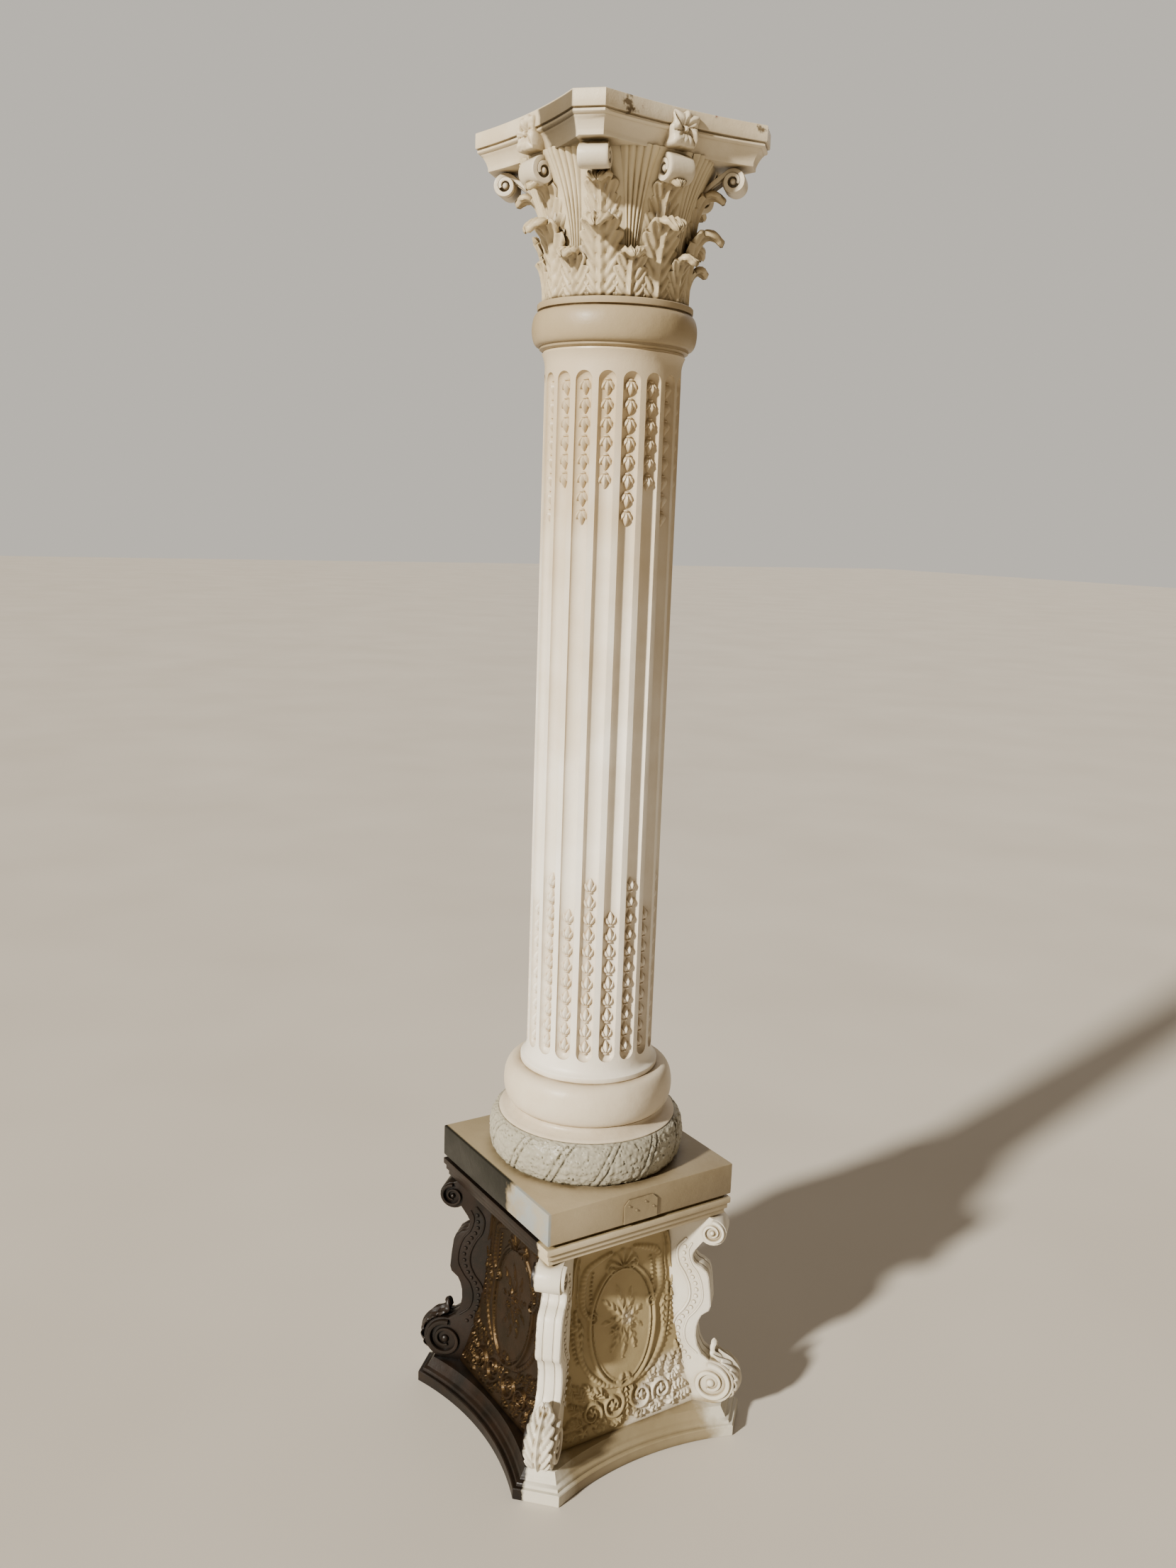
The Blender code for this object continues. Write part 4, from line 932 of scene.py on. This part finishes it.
def torus_place(u, v):
    """A point of the carved torus, with a rough and pitted cast surface."""
    angle = 2 * np.pi * u
    turn = np.pi * (0.5 - v)
    c = np.clip(np.cos(turn), 0, 1)
    radius = TORUS_NECK + (TORUS_REACH - TORUS_NECK) * c ** 0.8
    height = PLINTH_TOP + TORUS_HEIGHT * (0.5 + 0.5 * np.sin(turn))
    around = angle * TORUS_RADIUS_MM
    up = (v - 0.5) * OUTLINE_MM
    rise = leafy(around, up)
    rough = np.array([noise.fractal(Vector((a * 0.11, h * 0.11, 4.0)), 0.9, 2.1, 4)
                      for a, h in zip(around, up)])
    pits = np.array([noise.noise(Vector((a * 0.30, h * 0.30, 9.0))) for a, h in zip(around, up)])
    rise = rise * (0.75 + 0.9 * rough) + 1.1 * rough - 3.5 * np.clip(pits - 0.42, 0, 1) / 0.3
    fade = np.clip(c / 0.45, 0, 1)
    lift = np.clip(rise, -2.5, 1.7) / 1000 * fade
    return ((radius + lift * c) * np.cos(angle), (radius + lift * c) * np.sin(angle),
            height + lift * np.sin(turn))


plinth = slab(PLINTH_HALF, PEDESTAL_TOP, PLINTH_TOP, 0.0022)
leafy_torus = facing_out(skin(700, 64, torus_place), (0, 0, 0.51))
scotia = [(0.1245, 0.5740), (0.1290, 0.5705), (0.1290, 0.5680), (0.1305, 0.5650),
          (0.1330, 0.5620), (0.1375, 0.5590), (0.1420, 0.5570), (0.1475, 0.5560),
          (0.1490, 0.5550), (0.1490, 0.5535), (0.1470, 0.5520), (0.1300, 0.5510)]
upper = [(0.0, SHAFT_FOOT - JOINT_GAP)]
upper += torus_profile(0.121, 0.142, UPPER_TORUS_FOOT, 0.0697, 22)
make_piece("base_plinth", [plinth], PLINTH_PAINT, "column_base")
make_piece("base_leafy_torus", [leafy_torus], TORUS_PAINT, "column_base", 70)
make_piece("base_mouldings", [spun(upper), spun(scotia)], RING_PAINT,
           "column_base")

# %% [markdown]
# The shaft has 18 flutes that stop before both ends in a half circle. Cutting them with
# Booleans works, but a grid that is bent to the flutes gives cleaner edges: near an end
# the grid's rows follow the half circle, so the edge of the flute is a row of its own.

# %% Flute the shaft
SHAFT_RADIUS = 0.105
FLUTES = 18
FLUTE_HALF = 0.0135
FLUTE_DEPTH = 0.0095
FLUTE_MARGIN = 0.033
FIRST_FLUTE = math.radians(-127.0)
FLUTE_LOW = SHAFT_FOOT + FLUTE_MARGIN + FLUTE_HALF
FLUTE_HIGH = NECK_FOOT - FLUTE_MARGIN - FLUTE_HALF
PERIOD = 2 * math.pi / FLUTES
# the outline of the two ends: a height above the foot or a depth under the neck, a radius
FOOT_OUTLINE = ((0.0, 0.1140), (0.0015, 0.1150), (0.0085, 0.1150), (0.0100, 0.1138),
                (0.0115, 0.1110), (0.0150, 0.1083), (0.0200, 0.1062), (0.0300, 0.1050))
HEAD_OUTLINE = ((0.0210, 0.1050), (0.0150, 0.1058), (0.0100, 0.1072), (0.0060, 0.1088),
                (0.0035, 0.1100), (0.0030, 0.1085), (0.0, 0.1080))
in_flute = np.sin(np.linspace(-QUARTER, QUARTER, 15)) * FLUTE_HALF
on_fillet = np.linspace(FLUTE_HALF, PERIOD * SHAFT_RADIUS - FLUTE_HALF, 4)[1:-1]
columns = np.concatenate([in_flute, on_fillet])


def shaft_rows():
    """Rows of (height on the fillets, how far the row bends into an end: +1 up, -1 down)."""
    bends = np.sin(np.linspace(0, QUARTER, 9))
    rows = [(SHAFT_FOOT + up, 0.0) for up, radius in FOOT_OUTLINE]
    rows += [(FLUTE_LOW, -bend) for bend in bends[::-1]]
    rows += [(height, 0.0) for height in np.linspace(FLUTE_LOW, FLUTE_HIGH, 26)[1:-1]]
    rows += [(FLUTE_HIGH, bend) for bend in bends]
    rows += [(NECK_FOOT - 0.0285, 0.0)]
    rows += [(NECK_FOOT - drop, 0.0) for drop, radius in HEAD_OUTLINE]
    return np.array(rows)


def shaft_radius(height):
    """The unfluted radius: swelling to its foot and flaring under the neck ring."""
    outline = [(SHAFT_FOOT + up, radius) for up, radius in FOOT_OUTLINE]
    outline += [(NECK_FOOT - drop, radius) for drop, radius in HEAD_OUTLINE]
    return np.interp(height, *zip(*outline))


ROWS = shaft_rows()


def shaft_place(u, v):
    """A point of the shaft: on a fillet, or sunk into a flute."""
    column = np.rint(u * FLUTES * len(columns)).astype(int)
    flute = column // len(columns)
    across = columns[column % len(columns)]
    row = np.rint(v * (len(ROWS) - 1)).astype(int)
    base, bend = ROWS[row, 0], ROWS[row, 1]
    inside = np.clip(1 - (across / FLUTE_HALF) ** 2, 0, 1)
    height = base + bend * FLUTE_HALF * np.sqrt(inside)
    beyond = np.maximum(np.maximum(height - FLUTE_HIGH, FLUTE_LOW - height), 0)
    depth = FLUTE_DEPTH * np.sqrt(np.clip(inside - (beyond / FLUTE_HALF) ** 2, 0, 1))
    plain = (base < FLUTE_LOW - 0.001) | (base > FLUTE_HIGH + 0.001)
    depth = np.where(plain, 0.0, depth)
    radius = shaft_radius(height) - depth
    angle = FIRST_FLUTE + flute * PERIOD + across / SHAFT_RADIUS
    return radius * np.cos(angle), radius * np.sin(angle), height


shaft = facing_out(skin(FLUTES * len(columns), len(ROWS) - 1, shaft_place), (0, 0, 1.2))
neck = [(0.1080, 1.7830), (0.1105, 1.7840), (0.1140, 1.7860), (0.1140, 1.7885)]
neck += torus_profile(0.1145, 0.1265, 1.7900, 0.0500, 18)[::-1]
neck += [(0.1145, 1.8405), (0.1150, 1.8415), (0.1185, 1.8425), (0.1190, 1.8440),
         (0.1190, 1.8505), (0.1180, 1.8517), (0.0, 1.8517)]
make_piece("fluted_shaft", [shaft], SHAFT_PAINT, "shaft", 30)
make_piece("shaft_neck_ring", [spun(neck)], NECK_PAINT, "shaft")

# %% [markdown]
# Strings of husks, small bell-shaped buds one under another, hang from the heads of the
# flutes and climb from their feet, long and short in turn. One husk is a bud between two
# pointed petals, each a small drawn-out ball, so three hundred of them stay light.

# %% Hang the husks
def spike(length, half, rise, lean, foot):
    """A plump pointed petal that lies on the flute's floor, its root at foot."""
    shape = bmesh.new()
    bmesh.ops.create_uvsphere(shape, u_segments=8, v_segments=6, radius=1.0)
    for vert in shape.verts:
        narrow = 1 - 0.55 * max(vert.co.z, 0.0)
        vert.co = (vert.co.x * narrow, vert.co.y * narrow, vert.co.z)
    bmesh.ops.translate(shape, verts=shape.verts, vec=(0, 0, 1.0))
    bmesh.ops.scale(shape, verts=shape.verts, vec=(rise, half, 0.5 * length))
    shape.transform(Matrix.Rotation(lean, 4, 'X'))
    bmesh.ops.translate(shape, verts=shape.verts, vec=foot)
    return shape


def husk():
    """One husk that points up, 25 mm long: a bud, two spread petals and a knot at its root."""
    lean = math.radians(30)
    return [spike(0.0230, 0.0060, 0.0095, 0.0, (0, 0, 0.002)),
            spike(0.0185, 0.0042, 0.0080, lean, (0, -0.0012, 0.002)),
            spike(0.0185, 0.0042, 0.0080, -lean, (0, 0.0012, 0.002)),
            spike(0.0060, 0.0050, 0.0070, 0.0, (0, 0, -0.001))]


HUSK_PITCH = 0.027
HUSK_GAP = 0.011


def husk_strings():
    """Strings that climb from the flutes' feet and hang from their heads, long and short."""
    shapes = []
    reach = SHAFT_RADIUS - FLUTE_DEPTH - 0.0004
    low = SHAFT_FOOT + FLUTE_MARGIN + HUSK_GAP
    high = NECK_FOOT - FLUTE_MARGIN - HUSK_GAP
    upside_down = Matrix.Rotation(math.pi, 4, 'X')
    for number in range(FLUTES):
        turn = Matrix.Rotation(FIRST_FLUTE + PERIOD * number, 4, 'Z')
        at_foot, at_head = ((11, 6), (9, 8))[number % 2]
        places = [Matrix.Translation((reach, 0, low + i * HUSK_PITCH)) for i in range(at_foot)]
        places += [Matrix.Translation((reach, 0, high - i * HUSK_PITCH)) @ upside_down
                   for i in range(at_head)]
        for place in places:
            for petal in husk():
                petal.transform(turn @ place)
                shapes.append(petal)
    return shapes


make_piece("shaft_husks", husk_strings(), SHAFT_PAINT, "shaft", 50)

# %% [markdown]
# The capital is a bell wrapped in three rows of leaves. A leaf lies on the bell, bends
# out and turns its tip down. Its edge is lobed and each lobe has a vein, so light breaks
# on it. Two leaves have lost their tips on the left, as the photo's outline shows.

# %% Grow the leaves round the bell
BELL_FOOT_RADIUS = 0.102
BELL_LIP_RADIUS = 0.146
BELL_TOP = ABACUS_FOOT + 0.004
EIGHTH = math.pi / 4
LEAF_THICKNESS = 0.0050
BROKEN_LEAF, BROKEN_LENGTH = 3, 0.72
# a row of leaves: foot and bend above the capital's foot, reach, half width, turn, lobes,
# height of the ribs, stations, sides, how far the foot is drawn in, and sag
LEAF_ROWS = ((0.001, 0.066, 0.141, 0.0275, 0.5, 5, 0.0034, 46, 24, 0.36, 0.003),
             (0.001, 0.112, 0.160, 0.0355, 0.0, 7, 0.0036, 60, 28, 0.22, 0.004),
             (0.085, 0.164, 0.160, 0.0290, 0.0, 5, 0.0034, 46, 24, 0.30, 0.003))


def bell_radius(height):
    """The bell's radius at a height: nearly upright below, flaring to its lip."""
    share = np.clip((height - CAPITAL_FOOT) / (ABACUS_FOOT - CAPITAL_FOOT), 0, 1)
    return BELL_FOOT_RADIUS + (BELL_LIP_RADIUS - BELL_FOOT_RADIUS) * share ** 2.4


def leaf_curve(foot, bend, reach):
    """The midrib's line: up the bell, then over and down to the tip."""
    height = bend - foot
    start = float(bell_radius(foot)) + 0.0045
    knots = np.array([(start, foot), (start, foot + 0.72 * height),
                      (start + 0.45 * (reach - start), foot + 1.16 * height),
                      (reach, foot + 0.80 * height)])
    t = np.linspace(0, 1, 13)[:, None]
    left = 1 - t
    return (left ** 3 * knots[0] + 3 * left ** 2 * t * knots[1]
            + 3 * left * t ** 2 * knots[2] + t ** 3 * knots[3])


bell_line = [(0.0, BELL_TOP)]
bell_line += [(float(bell_radius(z)), z) for z in np.linspace(BELL_TOP, CAPITAL_FOOT, 16)]
bell_line += [(0.0, CAPITAL_FOOT)]
leaves = []
for number in range(8):
    for foot, bend, reach, half, turn, lobes, rise, *grid, root, sag in LEAF_ROWS:
        # a tip is lost from each of the two rows that start at the capital's foot
        broken = number == BROKEN_LEAF and foot < 0.01
        line = leaf_curve(CAPITAL_FOOT + foot, CAPITAL_FOOT + bend, reach)
        leaves.append(leaf_on(line, half, (number + turn) * EIGHTH, lobes, LEAF_THICKNESS, rise,
                              *grid, root, sag, BROKEN_LENGTH if broken else 1.0))


def ribbed_stalk(angle):
    """The fluted stalk that widens up the bell between a corner and the middle of a side."""
    low, high = CAPITAL_FOOT + 0.060, ABACUS_FOOT + 0.003

    def place(u, v):
        across = 2 * u - 1
        height = low + (high - low) * v
        half = 0.009 + 0.019 * v ** 1.4
        ribs = np.abs(np.sin(np.pi * 2.5 * (across + 0.2)))
        out = 0.0062 * np.clip(1 - across ** 6, 0, 1) * (0.45 + 0.55 * ribs) + 0.004 * v ** 4
        radius = bell_radius(height) + out - 0.0022
        turn = angle + half * across / radius
        return radius * np.cos(turn), radius * np.sin(turn), height

    return facing_out(skin(40, 24, place), (0, 0, (low + high) / 2))


stalks = [ribbed_stalk((number + 0.5) * EIGHTH) for number in range(8)]
make_piece("capital_bell", [spun(bell_line)] + stalks, BELL_PAINT, "capital")
make_piece("capital_leaves", leaves, LEAF_PAINT, "capital", 70)

# %% [markdown]
# Under the abacus a strap climbs from between the leaves and rolls over into a volute at
# each corner and at the middle of each side. It is one strap swept along a line that
# ends in a spiral, so the coil shows on both its ends as on the real thing.

# %% Roll the volutes
def volute(angle, reach, drop, half_width, size):
    """One strap that climbs the bell and rolls over; the size is the roll's outer radius."""
    centre = (reach, ABACUS_FOOT - drop)
    foot = CAPITAL_FOOT + 0.095
    start = float(bell_radius(foot))
    climb = centre[1] - foot
    band = 0.21 * size
    rise = smooth_line([(start + 0.001, foot), (start + 0.004, foot + 0.45 * climb),
                        (start + 0.45 * (reach - start) - 0.006, foot + 0.86 * climb),
                        (centre[0] - 0.62 * size, centre[1] + 0.52 * size)], 8)
    roll = winding(centre, size - band, 0.36 * size, 138, -1.45, 46)
    path = np.vstack([rise, np.array(roll)])
    share = np.linspace(0, 1, len(path))
    width = half_width * np.interp(share, [0, 0.35, 0.5, 1], [0.42, 0.80, 1.0, 1.0])
    thick = band * np.interp(share, [0, 0.4, 0.55, 1], [1.0, 0.9, 1.0, 0.62])
    shapes = [swept(path, width, thick, angle, 0.0, 20, 0.28)]
    # the core ends 8 mm inside the strap's edges, so the coil shows at both ends
    core = bmesh.new()
    bmesh.ops.create_cone(core, cap_ends=True, segments=28, radius1=0.80 * size,
                          radius2=0.80 * size, depth=2 * (half_width - 0.0080))
    core.transform(Matrix.Rotation(angle, 4, 'Z') @ Matrix.Translation((centre[0], 0, centre[1]))
                   @ Matrix.Rotation(QUARTER, 4, 'X'))
    shapes.append(core)
    for hand in (-1, 1):
        eye = hand * (half_width - 0.0065)
        shapes.append(button(centre, 0.27 * size, 0.0070, angle, eye, 6, 14))
    cord = offset_line(rise[3:], 0.0040)
    for over in (-0.62, -0.2, 0.2, 0.62):
        shapes.append(swept(cord, 0.0024, 0.0016, angle, over * half_width * 0.75, 6))
    return shapes


volutes = []
for angle in CORNERS:
    volutes += volute(angle, reach=0.173, drop=0.0205, half_width=0.0220, size=0.0205)
for angle in SIDES:
    volutes += volute(angle, reach=0.143, drop=0.0232, half_width=0.0215, size=0.0232)
make_piece("capital_volutes", volutes, VOLUTE_PAINT, "capital", 45)

# %% [markdown]
# The abacus is a slab with hollow sides and cut corners: a plain band, a bead and a
# hollow, and a flower at the middle of each side. The flower is a grid over an oval,
# pushed out by petals, with its rim buried in the hollow.

# %% Cover the capital with its abacus
ABACUS_PLAN = (0.220, 0.023, 0.161, 0.30)
abacus_profile = [(inset, ABACUS_FOOT + up) for inset, up in (
    (0.0195, 0.0), (0.0190, 0.0010), (0.0190, 0.0045), (0.0180, 0.0075), (0.0158, 0.0125),
    (0.0130, 0.0170), (0.0105, 0.0205), (0.0082, 0.0225), (0.0078, 0.0235), (0.0050, 0.0243),
    (0.0030, 0.0262), (0.0032, 0.0290), (0.0050, 0.0302), (0.0046, 0.0310), (0.0008, 0.0316),
    (0.0, 0.0330), (0.0, 0.0420), (0.0, 0.0522), (0.0005, 0.0534), (0.0018, 0.0540))]
abacus = horned_moulding(ABACUS_PLAN, abacus_profile, 32)


def fleuron_place(u, v):
    """The flower on the +X side: ragged leaves in a rounded square, round a bud."""
    turn = 2 * np.pi * u
    far = v
    square = (np.abs(np.cos(turn)) ** 5 + np.abs(np.sin(turn)) ** 5) ** -0.2
    ragged = 1 - 0.10 * np.abs(np.sin(4 * turn + 0.4)) - 0.05 * np.sin(7 * turn + 1.0)
    edge = far * square * ragged
    across = 0.0250 * edge * np.cos(turn)
    up = 0.0260 * edge * np.sin(turn)
    petal = np.abs(np.cos(2 * turn + 0.9 * np.sin(2 * turn) + 1.1 * far)) ** 0.7
    small = np.abs(np.cos(5 * turn + 3.0 * far)) ** 0.7
    rim = np.clip((1 - far) / 0.12, 0, 1) ** 0.5
    rise = rim * (0.0035 + 0.0060 * petal * np.exp(-((far - 0.62) / 0.30) ** 2)
                  + 0.0024 * small * far)
    rise = np.maximum(rise, 0.0098 * np.exp(-(far / 0.20) ** 4))
    out = 0.1585 + rise - 0.022 * np.clip(far - 0.95, 0, 1) / 0.05
    return out, across, ABACUS_FOOT + 0.0262 + up


fleuron = facing_out(skin(100, 30, fleuron_place), (0.10, 0, 2.073))
fleurons = [turned_to(fleuron, angle) for angle in SIDES]
fleuron.free()
make_piece("capital_abacus", [abacus] + fleurons, ABACUS_PAINT, "capital")

# %% [markdown]
# The small blank plate on the front of the plinth is a right solid already, so it stays
# and only gets its finish: sheet metal painted over with the plinth.

# %% Paint the blank plate
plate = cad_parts["blank_plate"]
plate.data.materials.clear()
plate.data.materials.append(PLATE_PAINT)
print("plate painted")

# %% [markdown]
# The column stands on a pale matt floor in a plain room. A low soft sun from the left
# shapes the flutes and the carving, a weak and very wide one from behind opens the
# shadows, and a pale world gives the background and a little warm fill.

# %% Set the floor, the lamps and the world
def floor():
    """A wide pale matt floor, faintly uneven in tone, that isn't part of the object."""
    shape = bmesh.new()
    bmesh.ops.create_grid(shape, x_segments=1, y_segments=1, size=40.0)
    mesh = bpy.data.meshes.new("floor")
    shape.to_mesh(mesh)
    shape.free()
    thing = bpy.data.objects.new("floor", mesh)
    bpy.context.scene.collection.objects.link(thing)
    finish = bpy.data.materials.new("pale_matt_floor")
    finish.use_nodes = True
    tree = finish.node_tree
    shader = tree.nodes["Principled BSDF"]
    place = add_node(tree, 'TexCoord', {}, 'Object')
    tint = patches(tree, place, 900, 2.0)
    tree.links.new(lay_over(tree, linear("#cdc6ba"), linear("#c6beb1"), tint),
                   shader.inputs['Base Color'])
    shader.inputs['Roughness'].default_value = 0.7
    mesh.materials.append(finish)


def soft_sun(name, azimuth, elevation, strength, spread, colour):
    """A far soft lamp; its angles are in degrees, and the spread is how wide it looks."""
    light = bpy.data.lights.new(name, 'SUN')
    light.energy = strength
    light.angle = math.radians(spread)
    light.color = colour
    thing = bpy.data.objects.new(name, light)
    turn, lift = math.radians(azimuth), math.radians(elevation)
    source = Vector((math.cos(lift) * math.cos(turn), math.cos(lift) * math.sin(turn),
                     math.sin(lift)))
    thing.rotation_euler = source.to_track_quat('Z', 'Y').to_euler()
    thing.location = source * 4
    bpy.context.scene.collection.objects.link(thing)


def pale_world(shown, cast, strength):
    """A pale room: one colour for the camera, and a weaker one that fills the shadows."""
    world = bpy.data.worlds.new("pale_room")
    bpy.context.scene.world = world
    world.use_nodes = True
    tree = world.node_tree
    seen = add_node(tree, 'LightPath', {}, 'Is Camera Ray')
    sky = tree.nodes["Background"]
    sky.inputs['Color'].default_value = linear(cast)
    sky.inputs['Strength'].default_value = strength
    back = add_node(tree, 'Background', {'Color': linear(shown), 'Strength': 0.95})
    both = add_node(tree, 'MixShader', [seen, sky.outputs[0], back])
    tree.links.new(both, tree.nodes["World Output"].inputs['Surface'])


floor()
soft_sun("key", azimuth=-166, elevation=25, strength=8.0, spread=4.0,
         colour=(1.0, 0.955, 0.87))
soft_sun("back_fill", azimuth=35, elevation=40, strength=0.6, spread=60.0,
         colour=(1.0, 0.97, 0.92))
pale_world(shown="#d9d3c8", cast="#e2c7a2", strength=0.22)
print("lit by", len(bpy.data.lights), "soft lamps and a pale world")

# %% [markdown]
# The camera stands where the photo was taken from: at standing eye height, near the
# column's front corner, looking a little down, and rolled by about two degrees.

# %% Place the camera
PHOTO_HEIGHT = 2212.0
FOCAL_LENGTH = 1903.8
SENSOR_HEIGHT = 36.0
eye = Vector((-1.1803, -1.8086, 1.5314))
look = Vector((0.53018582, 0.82610109, -0.19094496)).normalized()
right = look.cross(Vector((0, 0, 1))).normalized()
up = right.cross(look)
roll = math.radians(1.98)
right, up = (right * math.cos(roll) + up * math.sin(roll),
             up * math.cos(roll) - right * math.sin(roll))
camera_data = bpy.data.cameras.new("camera")
camera_data.sensor_fit = 'VERTICAL'
camera_data.sensor_height = SENSOR_HEIGHT
camera_data.lens = FOCAL_LENGTH * SENSOR_HEIGHT / PHOTO_HEIGHT
camera = bpy.data.objects.new("camera", camera_data)
camera.matrix_world = Matrix(((right.x, up.x, -look.x, eye.x), (right.y, up.y, -look.y, eye.y),
                              (right.z, up.z, -look.z, eye.z), (0, 0, 0, 1)))
bpy.context.scene.collection.objects.link(camera)
bpy.context.scene.camera = camera
print("the camera stands", round(eye.z, 2), "m above the floor")
